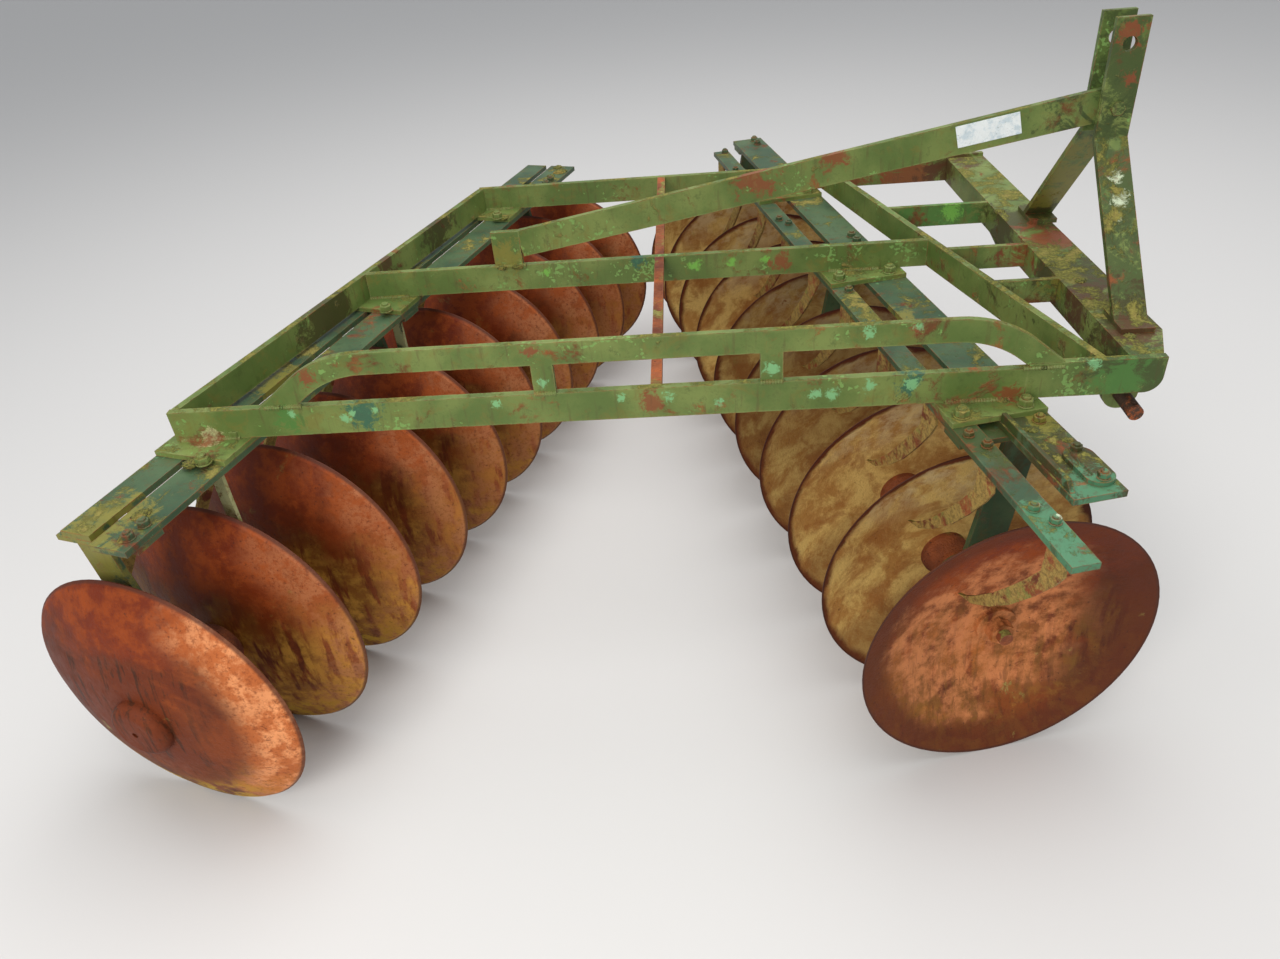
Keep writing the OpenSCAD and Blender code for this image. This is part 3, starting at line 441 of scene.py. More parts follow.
# the shaded tone is painted shade, a dark green that darkens the near leg, the mast, the near bar's front
# end and part of the front beam
PAINTED_SHADE, SOIL_AND_SHADE, FRESH = card(60, 74, 36), card(62, 58, 28), card(112, 172, 70)
TEAL = card(76, 128, 94)
FRAME_MARKS = [
    (DEEP, (-0.393, -0.658, 0.696), 0.040), (MINT, (-0.430, -0.658, 0.690), 0.013),
    (MINT, (-0.415, -0.658, 0.700), 0.008), (MINT, (-0.372, -0.658, 0.704), 0.009),
    (BRIGHT, (-0.537, -0.658, 0.698), 0.035), (LICHEN, (-0.694, -0.658, 0.662), 0.028),
    (MINT, (-0.528, -0.658, 0.706), 0.010), (MINT, (0.075, -0.658, 0.704), 0.010),
    (DEEP, (0.583, -0.658, 0.703), 0.030), (MINT, (0.587, -0.658, 0.703), 0.016),
    (MINT, (0.514, -0.658, 0.704), 0.014), (RUST_RED, (0.130, -0.658, 0.694), 0.030),
    (RUST_RED, (0.756, -0.658, 0.669), 0.026), (BRIGHT, (0.943, -0.658, 0.692), 0.060),
    (MINT, (0.894, -0.658, 0.722), 0.016), (RUST_RED, (-0.481, -0.657, 0.777), 0.022),
    (RUST_RED, (-0.074, -0.657, 0.808), 0.018), (RUST_RED, (0.588, -0.657, 0.805), 0.016),
    (MINT, (0.506, -0.657, 0.807), 0.014), (RUST_RED, (0.355, -0.148, 0.907), 0.055),
    (RUST_RED, (0.506, -0.171, 0.956), 0.036), (RUST_RED, (0.651, 0.484, 0.692), 0.10),
    (RUST_RED, (0.799, 0.484, 0.687), 0.10), (RUST_DARK, (0.932, 0.484, 0.681), 0.10),
    (DEEP, (0.095, -0.068, 0.720), 0.030), (RUST_RED, (0.411, -0.068, 0.690), 0.034),
    (RUST_DARK, (0.99, -0.40, 0.722), 0.10), (RUST_RED, (0.98, -0.10, 0.722), 0.10),
    (RUST_DARK, (1.00, -0.55, 0.722), 0.07), (RUST_RED, (1.006, -0.27, 1.17), 0.035),
    # painted glints on the near leg, on this line and the next
    (RUST_RED, (1.02, -0.27, 1.09), 0.020), (PAINTED_GLINT, (1.006, -0.33, 0.93), 0.016),
    (PAINTED_GLINT, (1.012, -0.36, 0.90), 0.020), (PAINTED_GLINT, (1.000, -0.38, 0.87), 0.014),
    (MOSSY, (-0.205, -0.061, 0.745), 0.05), (MOSSY, (1.006, -0.17, 0.91), 0.07),
    (MOSSY, (1.006, -0.10, 0.85), 0.07), (MOSSY, (1.006, -0.03, 0.79), 0.07),
    (MOSSY, (0.96, -0.30, 0.722), 0.05), (MOSSY, (0.703, -0.60, 0.665), 0.05),
    # painted shade on the near leg and the mast, and further down on the near bar's front end
    (PAINTED_SHADE, (1.006, -0.36, 0.95), 0.17), (PAINTED_SHADE, (1.006, -0.46, 0.79), 0.14),
    (PAINTED_SHADE, (1.006, -0.28, 1.12), 0.14), (SOIL_AND_SHADE, (0.98, -0.30, 0.722), 0.16),
    (SOIL_AND_SHADE, (0.96, 0.02, 0.722), 0.16), (SOIL_AND_SHADE, (0.99, -0.52, 0.722), 0.10),
    # painted shade on the rear member: the soil tone at the end of this line and on the next line darkens it
    (PAINTED_SHADE, (0.97, -0.658, 0.70), 0.10), (SOIL_AND_SHADE, (-0.60, -0.20, 0.69), 0.12),
    (RUST_DARK, (-0.52, 0.02, 0.71), 0.04), (SOIL_AND_SHADE, (-0.44, 0.24, 0.69), 0.10),
    (MINT, (0.160, -0.658, 0.700), 0.014), (MINT, (0.420, -0.658, 0.690), 0.013),
    (MINT, (0.449, -0.658, 0.688), 0.016), (MINT, (0.343, -0.657, 0.745), 0.018),
    (MINT, (0.590, -0.657, 0.812), 0.012), (MINT, (0.250, -0.658, 0.682), 0.011),
    (MINT, (-0.150, -0.658, 0.704), 0.012), (MINT, (-0.060, -0.657, 0.740), 0.012),
    (FRESH, (0.217, -0.068, 0.695), 0.020), (FRESH, (0.303, -0.068, 0.698), 0.015),
    (FRESH, (0.377, -0.068, 0.700), 0.013), (FRESH, (-0.120, -0.068, 0.700), 0.012),
    (BRIGHT, (0.80, 0.139, 0.700), 0.11), (FRESH, (0.84, 0.139, 0.705), 0.03)]
# the fourth colour is the edge tone, the painted highlight along the frame's edges
frame_paint = weathered_paint("frame_green", card(86, 106, 50), card(116, 130, 68),
                              card(118, 104, 46), card(146, 152, 94), card(120, 158, 84),
                              0.30, 0.41, 0.38, 0.55, FRAME_MARKS)
BEAM_MARKS = [
    (MOSSY, (-0.832, -0.884, 0.57), 0.12), (MOSSY, (-0.80, -0.90, 0.65), 0.10),
    (LICHEN, (-0.487, -0.095, 0.57), 0.05), (LICHEN, (-0.680, -0.707, 0.57), 0.05),
    (MOSSY, (-0.62, -0.42, 0.65), 0.09), (MOSSY, (0.62, -0.30, 0.65), 0.08),
    # the soil tone on the front beam is soil and moss
    (SOIL_AND_SHADE, (0.80, -0.86, 0.651), 0.16),
    (SOIL_AND_SHADE, (0.77, -0.66, 0.651), 0.14), (MOSSY, (0.80, -0.72, 0.651), 0.05),
    (TEAL, (0.735, -1.04, 0.650), 0.14), (TEAL, (0.815, -0.915, 0.650), 0.06),
    # painted glints on two bolts of the front beam
    (PAINTED_GLINT, (0.740, -0.995, 0.660), 0.010), (PAINTED_GLINT, (0.723, -0.960, 0.660), 0.010),
    # painted shade on the front beam
    (PAINTED_SHADE, (0.68, -0.75, 0.651), 0.12)]
# the fourth colour is the edge tone, the painted highlight along the beams' edges
beam_paint = weathered_paint("beam_teal", card(52, 76, 52), card(74, 96, 64),
                             card(92, 80, 42), card(108, 128, 92), card(92, 134, 92),
                             0.26, 0.42, 0.34, 0.50, BEAM_MARKS)
print("paints", frame_paint.name, beam_paint.name)

# %% [markdown]
# ## Finish: disc steel
# Each disc has its own story told in rings: a worn rim, an orange outer band, and a darker
# middle where soil and water stay. The pattern is worked out in the gang's own frame, with
# one axis along the shaft. A Mapping node turns the object's place into that frame, and the
# distance from the shaft is then the ring that a point lies on.

# %% The gangs' own frames
DISC_PITCH = 0.214
DISC_COUNT = 10
DISC_RADIUS = 0.28
GANG_LENGTH = (DISC_COUNT - 1) * DISC_PITCH
LAST_GAP = 1.79
joints = {j["name"]: j for j in frame["joints"]}


def gang_frame(joint, far_first):
    """Place and turn of a gang's own frame: X runs along the shaft to the discs' bulge."""
    near = Vector(joints[joint]["pos_m"])
    along = Vector(joints[joint]["axis"])
    turn = math.atan2(along.y, along.x)
    if not far_first:
        return near, turn
    return near + along * GANG_LENGTH, turn + math.pi


FRONT_GANG = gang_frame("front_gang_spin", False)
REAR_GANG = gang_frame("rear_gang_spin", True)
print("front gang", FRONT_GANG, "rear gang", REAR_GANG)


# %% Where a point lies on its disc
def disc_places(tree, place, normal, gang):
    """Measures a point in the gang's own frame: along the shaft, up, and its ring round the
    shaft. High and inward, which is towards the machine's middle, are swayed by broad noise,
    so that no zone has a straight edge. Hollow is 1 on the dished faces."""
    origin, turn = gang
    own = put(tree, "ShaderNodeMapping",
              {"Vector": place, "Location": origin, "Rotation": (0, 0, turn)},
              vector_type="TEXTURE").outputs[0]
    axes = put(tree, "ShaderNodeSeparateXYZ", {0: own}).outputs
    facing = put(tree, "ShaderNodeMapping", {"Vector": normal, "Rotation": (0, 0, -turn)},
                 vector_type="VECTOR").outputs[0]
    faces_bulge = put(tree, "ShaderNodeSeparateXYZ", {0: facing}).outputs["X"]
    ring = sum_up(tree, "SQRT", plus(tree, times(tree, axes["Y"], axes["Y"]),
                                     times(tree, axes["Z"], axes["Z"])))
    broad = blotch(tree, place, 0.17, detail=6.0, rough=0.62, warp=0.5)
    medium = blotch(tree, place, 0.045, detail=7.0, rough=0.7)
    sway = times(tree, sum_up(tree, "SUBTRACT", broad, 0.5), 0.34)
    return SimpleNamespace(
        own=own, along=axes["X"], up=axes["Z"], ring=ring, broad=broad, medium=medium,
        hollow=cut(tree, faces_bulge, 0.05, -0.05), sway=sway,
        high=plus(tree, axes["Z"], sway), inward=plus(tree, axes["Y"], sway),
        ringed=plus(tree, ring, times(tree, medium, 0.05)),
        low=cut(tree, axes["Z"], 0.12, -0.16),
        outermost=cut(tree, axes["X"], LAST_GAP - 0.03, LAST_GAP + 0.03),
        pits=blotch(tree, place, 0.008, detail=4.0, rough=0.75))


print("recipe", disc_places.__name__)

# %% [markdown]
# ## The discs' rust
# The upper edge of a disc dries first and stays a fresh orange. Its middle keeps the tint of
# what lay in it, and its outer side is maroon. Each zone is a mask that is cut from one of the
# measures above, and not a separate texture, so that all discs of a gang differ by
# themselves.


# %% Rust in zones
def disc_rust(tree, place, at, middle, middle_reach):
    """The colour of a disc's rust. The middle has its own tone out to middle_reach."""
    tones = use(tree, rust_tones, Place=place, Fresh=0.46)["Color"]
    colour = lay_over(tree, cut(tree, at.broad, 0.40, 0.60), card(82, 34, 13),
                      card(122, 56, 20))
    colour = lay_over(tree, cut(tree, at.medium, 0.45, 0.62), colour, tones, 0.45)
    orange = lay_over(tree, cut(tree, at.medium, 0.42, 0.60), card(112, 38, 8),
                      card(144, 62, 16))
    colour = lay_over(tree, cut(tree, at.high, 0.06, 0.20), colour, orange, 0.75)
    tinted = lay_over(tree, cut(tree, at.medium, 0.40, 0.62), middle, tones)
    centre = cut(tree, plus(tree, at.ringed, at.sway), middle_reach, middle_reach - 0.07)
    colour = lay_over(tree, centre, colour, tinted, 0.75)
    outward = both(tree, cut(tree, at.inward, -0.07, -0.19), cut(tree, at.high, 0.20, 0.10))
    colour = lay_over(tree, outward, colour, card(66, 28, 14), 0.8)
    # water runs down and leaves dark lines
    drawn = stretch(tree, at.own, (1.0, 1.0, 0.10))
    run = cut(tree, blotch(tree, drawn, 0.014, detail=4.0, rough=0.65), 0.50, 0.62)
    colour = lay_over(tree, both(tree, run, at.low), colour, card(62, 32, 18), 0.45)
    # the outermost disc is stained dark between its orange top and its foot
    stained = both(tree, cut(tree, at.inward, 0.17, 0.07), cut(tree, at.high, 0.15, 0.08),
                   at.outermost, cut(tree, at.high, -0.13, -0.06))
    stain = lay_over(tree, run, card(98, 40, 16), card(56, 28, 14))
    return lay_over(tree, stained, colour, stain, 0.85)


print("recipe", disc_rust.__name__)

# %% [markdown]
# ## Damp, streaks and painted sheen on the discs
# The lower half of a disc stays damp and brown. Between the discs it has turned olive in streaks that run
# down. A pale salmon band on the rims is painted sheen: the sky's reflection put into the colour. These come
# after the rust, because they lie on it. Streaks are made by squeezing the noise's place on one axis.


# %% Dirt and painted sheen on the discs
def disc_dirt_and_sheen(tree, colour, at, rim_share, damp_share, olive_share, inner_sheen):
    """Lays damp, olive streaks, a painted sheen on the rims and the dark rim band over the rust, by their
    shares.
    """
    damp = both(tree, cut(tree, at.high, -0.02, -0.16), cut(tree, at.medium, 0.34, 0.52),
                cut(tree, at.ring, 0.13, 0.19))
    colour = lay_over(tree, damp, colour, card(116, 70, 38), damp_share)
    streak = blotch(tree, stretch(tree, at.own, (1.0, 1.0, 0.22)), 0.024, detail=6.0)
    inner_fade = ramp(tree, at.along, 1.30, 1.48, 0.5, 1.0)
    olive = both(tree, cut(tree, at.high, 0.14, -0.04), cut(tree, streak, 0.38, 0.52),
                 cut(tree, at.along, LAST_GAP + 0.03, LAST_GAP - 0.03), inner_fade)
    olive_tone = lay_over(tree, cut(tree, at.medium, 0.42, 0.62), card(148, 100, 36),
                          card(206, 156, 64))
    colour = lay_over(tree, olive, colour, olive_tone, olive_share)
    yellow = both(tree, cut(tree, at.high, -0.08, -0.18), cut(tree, at.medium, 0.44, 0.58),
                  cut(tree, at.ring, 0.17, 0.23), inner_fade)
    colour = lay_over(tree, yellow, colour, card(186, 150, 50), olive_share)
    # painted sheen: a pale salmon band on the rims that stands in for the sky's reflection, strongest on the
    # outermost disc, on the side to the machine's middle
    sheen_band = both(tree, cut(tree, at.inward, 0.04, 0.20), cut(tree, at.ringed, 0.19, 0.255),
                 ramp(tree, at.along, LAST_GAP - 0.03, LAST_GAP + 0.03, inner_sheen, 1.0),
                 ramp(tree, at.broad, 0.35, 0.6, 1.0, 0.75))
    sheen_tone = lay_over(tree, cut(tree, at.medium, 0.42, 0.58), card(232, 154, 100),
                    card(188, 104, 54))
    sheen_tone = lay_over(tree, cut(tree, at.pits, 0.48, 0.60), sheen_tone, card(140, 70, 32), 0.5)
    colour = lay_over(tree, sheen_band, colour, sheen_tone)
    band = cut(tree, at.ringed, 0.235, 0.275)
    colour = lay_over(tree, band, colour, card(88, 40, 20), rim_share)
    return lay_over(tree, cut(tree, at.pits, 0.60, 0.70), colour, card(62, 34, 24), 0.7)


print("recipe", disc_dirt_and_sheen.__name__)

# %% [markdown]
# ## Dried soil in the hollows
# The front gang throws soil into the hollow faces of its discs, where it dries to a pale crust. A mask finds
# those faces by their normal. The nearest disc has been washed clean, so the crust starts at the second one.
# On the discs in the middle of the gang, which lie under the near bar, the crust is darkened as painted
# shade.


# %% Dried soil
def dried_soil(tree, colour, height, place, at, soil):
    """Lays a crust of dried soil in the hollow faces. Returns the colour and the height."""
    crust = blotch(tree, place, 0.075, detail=10.0, rough=0.70, warp=0.4)
    grit = blotch(tree, place, 0.006, detail=4.0, rough=0.8)
    edge = plus(tree, at.ring, times(tree, crust, 0.05))
    thick = plus(tree, crust, times(tree, grit, 0.4))
    caked = both(tree, cut(tree, edge, 0.300, 0.284), at.hollow,
                 cut(tree, thick, 0.86 - soil, 0.98 - soil), cut(tree, at.along, 0.10, 0.12))
    earth = lay_over(tree, cut(tree, crust, 0.40, 0.60), card(182, 132, 68),
                     card(222, 188, 110))
    earth = lay_over(tree, cut(tree, grit, 0.54, 0.68), earth, card(136, 94, 44), 0.45)
    bared = blotch(tree, place, 0.09, detail=7.0, rough=0.66, warp=0.5)
    earth = lay_over(tree, cut(tree, bared, 0.48, 0.62), earth, card(156, 98, 48), 0.65)
    pale_top = both(tree, cut(tree, at.up, 0.10, 0.22), cut(tree, at.medium, 0.40, 0.60))
    earth = lay_over(tree, pale_top, earth, card(226, 206, 156), 0.6)
    lowest = cut(tree, at.high, -0.05, -0.16)
    earth = lay_over(tree, lowest, earth, card(122, 76, 36), 0.6)
    # painted shade: the crust is darkened on the middle discs, which lie in the shade under the near bar
    shade_under_bar = both(tree, cut(tree, at.along, 0.45, 0.80), cut(tree, at.along, 1.25, 1.00))
    earth = lay_over(tree, shade_under_bar, earth, card(78, 46, 22), 0.5)
    return (lay_over(tree, caked, colour, earth),
            plus(tree, height, both(tree, caked, times(tree, grit, 2.0))))


# %% Disc steel
def disc_steel(name, gang, soil, middle, middle_reach, rim_share, damp_share, olive_share,
               inner_sheen):
    """Rusted disc steel: rust, dirt and a painted sheen, soil where soil is above 0, moss and the rim's
    line.
    """
    material, tree, place, normal = start_finish(name)
    at = disc_places(tree, place, normal, gang)
    colour = disc_rust(tree, place, at, middle, middle_reach)
    colour = disc_dirt_and_sheen(tree, colour, at, rim_share, damp_share, olive_share, inner_sheen)
    height = plus(tree, times(tree, at.pits, -0.8), times(tree, at.medium, 1.2))
    if soil > 0:
        colour, height = dried_soil(tree, colour, height, place, at, soil)
    moss = use(tree, moss_growth, Place=place, Amount=0.36, Lift=0.0)
    grown = both(tree, moss["Mask"], plus(tree, 0.35, at.low))
    colour = lay_over(tree, grown, colour, moss["Color"])
    rim = cut(tree, at.ring, DISC_RADIUS - 0.006, DISC_RADIUS - 0.002)
    colour = lay_over(tree, rim, colour, card(72, 40, 30), 0.8)
    rough = ramp(tree, at.medium, 0.3, 0.7, 0.46, 0.72)
    return end_finish(material, colour, rough, height, 0.002, 0.8, DISC_SHINE)


front_disc_steel = disc_steel("front_disc_steel", FRONT_GANG, 0.42, card(214, 136, 84),
                              0.25, 0.75, 0.20, 0.25, 0.1)
rear_disc_steel = disc_steel("rear_disc_steel", REAR_GANG, 0.0, card(122, 62, 26),
                             0.17, 0.0, 0.40, 0.9, 0.38)
print("discs", front_disc_steel.name, rear_disc_steel.name)

# %% [markdown]
# ## Finish: rusted bars and castings
# Spools are rough castings and have a coarser skin than the rolled steel of the shaft and
# the scrapers. The same rust tones serve both, with a deeper bump on the castings. Soil has
# dried on the scrapers too, so they have a coat of it.


# %% Rusted iron
def rusted_iron(name, fresh, skin_size, skin_depth, moss_amount, marks=(), earth=None):
    """Rusted iron with a grainy skin of the given size and depth. Marks are as on paint, and
    earth is the colour of the dried soil on it, if it has any."""
    material, tree, place, _ = start_finish(name)
    tones = use(tree, rust_tones, Place=place, Fresh=fresh)
    moss = use(tree, moss_growth, Place=place, Amount=moss_amount, Lift=0.1)
    worn = use(tree, edge_wear_and_highlight, Place=place, Width=0.003, Uneven=0.5)["Mask"]
    colour = lay_over(tree, worn, tones["Color"], card(170, 112, 76), 0.6)
    if earth:
        smeared = blotch(tree, place, 0.035, detail=8.0, rough=0.7, warp=0.4)
        grit = blotch(tree, place, 0.008, detail=5.0, rough=0.75)
        dark_earth = tuple(c * 0.55 for c in earth[:3]) + (1.0,)
        earth_tone = lay_over(tree, cut(tree, grit, 0.42, 0.62), earth, dark_earth)
        colour = lay_over(tree, cut(tree, smeared, 0.40, 0.52), colour, earth_tone)
    for tone, centre, reach in marks:
        colour = lay_over(tree, near_to(tree, place, centre, reach), colour, tone)
    colour = lay_over(tree, moss["Mask"], colour, moss["Color"])
    skin = blotch(tree, place, skin_size, detail=3.0, rough=0.6)
    height = plus(tree, tones["Height"], times(tree, skin, 1.5))
    rough = ramp(tree, skin, 0.3, 0.7, 0.6, 0.85)
    return end_finish(material, colour, rough, height, skin_depth, shine=DULL_SHINE)


cast_iron = rusted_iron("spool_casting", 0.42, 0.005, 0.0022, 0.34)
STEEL_MARKS = [(card(70, 52, 40), (0.989, -0.62, 0.612), 0.07),
               (LICHEN, (-0.680, -0.707, 0.57), 0.10), (MOSSY, (-0.60, -0.50, 0.55), 0.06)]
bar_iron = rusted_iron("rusted_bar", 0.44, 0.010, 0.0012, 0.38, STEEL_MARKS)
scraper_iron = rusted_iron("scraper_iron", 0.25, 0.010, 0.0014, 0.46, STEEL_MARKS,
                           card(158, 130, 68))
print("irons", cast_iron.name, bar_iron.name, scraper_iron.name)

# %% [markdown]
# ## The finishes go on the solids
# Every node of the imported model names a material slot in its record. That slot decides the
# finish here, so that the record and the picture agree. Two kinds of node are finer than
# their slot: the scrapers carry dried soil, and the discs and end nuts differ from gang to
# gang, because their patterns are worked out in their own gang's frame.

# %% Put each finish on its nodes
SLOT_FINISH = {"green_paint": frame_paint, "teal_paint": beam_paint,
               "rusty_casting": cast_iron, "rusty_steel": bar_iron}
NODE_FINISH = {"front_scrapers": scraper_iron, "rear_scrapers": scraper_iron,
               "front_discs": front_disc_steel, "front_end_nuts": front_disc_steel,
               "rear_discs": rear_disc_steel, "rear_end_nuts": rear_disc_steel}
slot_of = {part["node"]: part["material_slot"] for part in frame["record"]["subparts"]}
for name, node in frame["nodes"].items():
    node.data.materials.clear()
    node.data.materials.append(NODE_FINISH.get(name) or SLOT_FINISH[slot_of[name]])
print("finished", len(frame["nodes"]), "nodes")

# %% [markdown]
# ## Bolts and nuts
# Hexagon bolts clamp the saddle plates, the scrapers and the hangers to the beams. One bolt
# end is modelled: a washer, a nut with worn corners and the end of the thread. It is then
# copied to each hole, and all copies are joined into one piece. Separate pieces for each bolt
# would only make the list of parts longer.

# %% Model one bolt end
def deselect():
    """Leaves nothing selected, because an operator acts on all that is."""
    bpy.ops.object.select_all(action="DESELECT")


def soften(width, segments=2):
    """Bevels the active object's sharp edges for good."""
    trim = bpy.context.object.modifiers.new("worn_corners", "BEVEL")
    trim.width, trim.segments = width, segments
    trim.limit_method, trim.angle_limit = "ANGLE", math.radians(40)
    bpy.ops.object.modifier_apply(modifier=trim.name)


def join_up(pieces, name):
    """Joins pieces into one named object at the origin, with its place in its mesh."""
    deselect()
    for piece in pieces:
        piece.select_set(True)
    bpy.context.view_layer.objects.active = pieces[0]
    if len(pieces) > 1:
        bpy.ops.object.join()
    joined = bpy.context.object
    joined.name = name
    bpy.ops.object.transform_apply(location=True, rotation=True, scale=True)
    return joined


NUT_ACROSS, NUT_HIGH, WASHER_HIGH, THREAD_OUT = 0.024, 0.012, 0.003, 0.005
deselect()
bpy.ops.mesh.primitive_cylinder_add(vertices=20, radius=NUT_ACROSS * 0.62, depth=WASHER_HIGH,
                                    location=(0, 0, WASHER_HIGH / 2))
soften(0.0008, 1)
bolt_parts = [bpy.context.object]
bpy.ops.mesh.primitive_cylinder_add(vertices=6, radius=NUT_ACROSS / math.sqrt(3),
                                    depth=NUT_HIGH,
                                    location=(0, 0, WASHER_HIGH + NUT_HIGH / 2))
soften(0.0016)
bolt_parts.append(bpy.context.object)
bpy.ops.mesh.primitive_cylinder_add(vertices=12, radius=NUT_ACROSS / 3, depth=THREAD_OUT * 2,
                                    location=(0, 0, WASHER_HIGH + NUT_HIGH))
soften(0.0012, 1)
bolt_parts.append(bpy.context.object)
bolt_end = join_up(bolt_parts, "bolt_end")
print("bolt end", len(bolt_end.data.polygons), "faces")

# %% [markdown]
# ## Where the bolts go
# Places along a gang are given in the gang's own frame, as its maker would measure them: so
# far along the shaft, so far across it. Each bolt stands on the face that it clamps.

# %% Copy the bolts to their holes
BEAM_TOP, SADDLE_TOP, FRAME_TOP = 0.650, 0.660, 0.720


def on_gang(gang, along, across, height):
    """A point of a gang's own frame, as a point of the machine."""
    origin, turn = gang
    return Vector((origin.x + along * math.cos(turn) - across * math.sin(turn),
                   origin.y + along * math.sin(turn) + across * math.cos(turn), height))


def copies(model, spots, name):
    """Copies a model to each spot, a place with a turn and a size, and joins the copies."""
    made = []
    for spot, turn, size in spots:
        twin = model.copy()
        twin.data = model.data.copy()
        scene.collection.objects.link(twin)
        twin.location, twin.rotation_euler = spot, turn
        twin.scale = (size, size, size)
        made.append(twin)
    return join_up(made, name)


def dress(piece, finish, body):
    """Gives a new piece its finish and the body that it moves with."""
    piece.data.materials.clear()
    piece.data.materials.append(finish)
    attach(piece, body)
    return piece


# where the frame's bars cross each gang, and where its hangers are, along the shaft
FRONT_CROSSINGS = (0.237, 0.840, 1.405)
REAR_CROSSINGS = (1.648, 1.023, 0.441)
HANGER_PLACES = [DISC_PITCH * gap + 0.169 for gap in (0, 4, 8)]
SADDLE_SIDE, HANGER_SIDE = 0.046, 0.018
SADDLE_REACH = 0.085
FRONT_BEAM_END = 1.82
# a scraper's two bolts: how far before its disc, and how far across the shaft
SCRAPER_BOLTS = ((0.107, 0.042), (0.069, 0.056))


def spin(step):
    """Bolts are never turned alike, so each gets another turn."""
    return (0, 0, math.radians(37 * step))


def is_clear(along, crossings):
    """True where no saddle plate covers the beam."""
    return all(abs(along - crossing) > SADDLE_REACH for crossing in crossings)


saddle_spots, beam_spots = [], []


def mark_bolt(spots, gang, along, across, height, size):
    """Adds one bolt to a list of spots."""
    spots.append((on_gang(gang, along, across, height), spin(len(spots)), size))


for gang, crossings, rows in ((FRONT_GANG, FRONT_CROSSINGS, (0.048, -0.070)),
                              (REAR_GANG, REAR_CROSSINGS, (0.045,))):
    for crossing in crossings:
        for along in (crossing - SADDLE_SIDE, crossing + SADDLE_SIDE):
            for across in rows:
                mark_bolt(saddle_spots, gang, along, across, SADDLE_TOP, 1.0)
for step in range(DISC_COUNT):
    for before, across in SCRAPER_BOLTS:
        along = step * DISC_PITCH - before
        if is_clear(along, FRONT_CROSSINGS) and along < FRONT_BEAM_END:
            mark_bolt(beam_spots, FRONT_GANG, along, across, BEAM_TOP, 0.7)
for hanger in HANGER_PLACES:
    for along in (hanger - HANGER_SIDE, hanger + HANGER_SIDE):
        if is_clear(along, REAR_CROSSINGS):
            mark_bolt(beam_spots, REAR_GANG, along, 0.058, BEAM_TOP, 0.8)
        if is_clear(along, FRONT_CROSSINGS):
            mark_bolt(beam_spots, FRONT_GANG, along, -0.075, BEAM_TOP, 0.8)
saddle_bolts = copies(bolt_end, saddle_spots, "saddle_bolts")
beam_bolts = copies(bolt_end, beam_spots, "beam_bolts")
dress(saddle_bolts, frame_paint, "frame")
dress(beam_bolts, beam_paint, "frame")
print("bolts", len(saddle_spots), "on saddles,", len(beam_spots), "on beams")

# %% [markdown]
# ## Clamp plate and edge rib
# At its near end the front outer beam carries a raised plate with round ends, and a narrow
# rib stands along the beam's inner edge. The plate starts as a disc that is split and drawn
# out; a box with a bevel would not have its full round ends.

# %% Model the clamp plate and the rib
PLATE_LONG, PLATE_WIDE, PLATE_THICK = 0.105, 0.050, 0.008
PLATE_ALONG, PLATE_ACROSS = 0.005, -0.078


def rounded_plate(length, width, thick, inset):
    """A plate with half-round ends and a raised middle, lying at the origin."""
    deselect()
    bpy.ops.mesh.primitive_circle_add(vertices=32, radius=width / 2, fill_type="NGON")
    plate = bpy.context.object
    for vertex in plate.data.vertices:
        vertex.co.x += math.copysign((length - width) / 2, vertex.co.x)
    bpy.ops.object.mode_set(mode="EDIT")
    bpy.ops.mesh.select_all(action="SELECT")
    bpy.ops.mesh.extrude_region_move(TRANSFORM_OT_translate={"value": (0, 0, thick)})
    bpy.ops.mesh.inset(thickness=inset)
    bpy.ops.mesh.extrude_region_move(TRANSFORM_OT_translate={"value": (0, 0, thick * 0.5)})
    bpy.ops.transform.resize(value=(0.86, 0.8, 1))
    bpy.ops.mesh.select_all(action="SELECT")
    bpy.ops.mesh.normals_make_consistent(inside=False)
    bpy.ops.object.mode_set(mode="OBJECT")
    soften(0.0012)
    return plate


clamp_model = rounded_plate(PLATE_LONG, PLATE_WIDE, PLATE_THICK, 0.010)
front_turn = (0, 0, FRONT_GANG[1])
clamp_plate = copies(clamp_model, [
    (on_gang(FRONT_GANG, PLATE_ALONG, PLATE_ACROSS, BEAM_TOP), front_turn, 1.0)],
    "clamp_plate")
dress(clamp_plate, beam_paint, "frame")
clamp_bolts = copies(bolt_end, [
    (on_gang(FRONT_GANG, along, PLATE_ACROSS, BEAM_TOP + PLATE_THICK), spin(step), 0.75)
    for step, along in enumerate((-0.034, 0.044))], "clamp_bolts")
dress(clamp_bolts, beam_paint, "frame")

RIB_FROM, RIB_TO, RIB_ACROSS, RIB_TALL, RIB_THICK = -0.050, 0.172, -0.020, 0.016, 0.009
deselect()
bpy.ops.mesh.primitive_cube_add(size=1)
rib = bpy.context.object
rib.scale = (RIB_TO - RIB_FROM, RIB_THICK, RIB_TALL)
bpy.ops.object.transform_apply(location=False, rotation=False, scale=True)
for vertex in rib.data.vertices:
    if vertex.co.z > 0 and vertex.co.x < 0:
        vertex.co.x += RIB_TALL
soften(0.0012)
rib.location = on_gang(FRONT_GANG, (RIB_FROM + RIB_TO) / 2, RIB_ACROSS,
                       BEAM_TOP + RIB_TALL / 2)
rib.rotation_euler = front_turn
rib = join_up([rib], "edge_rib")
dress(rib, beam_paint, "frame")
print("clamp plate", len(clamp_plate.data.polygons), "rib", len(rib.data.polygons))

# %% [markdown]
# ## Weld beads
# Posts, foot plates and saddles are welded on. A weld is a row of small overlapping ripples.
# One short bead is drawn as a disc that is extruded step by step, wide and narrow in turn,
# and longer welds are rows of it.

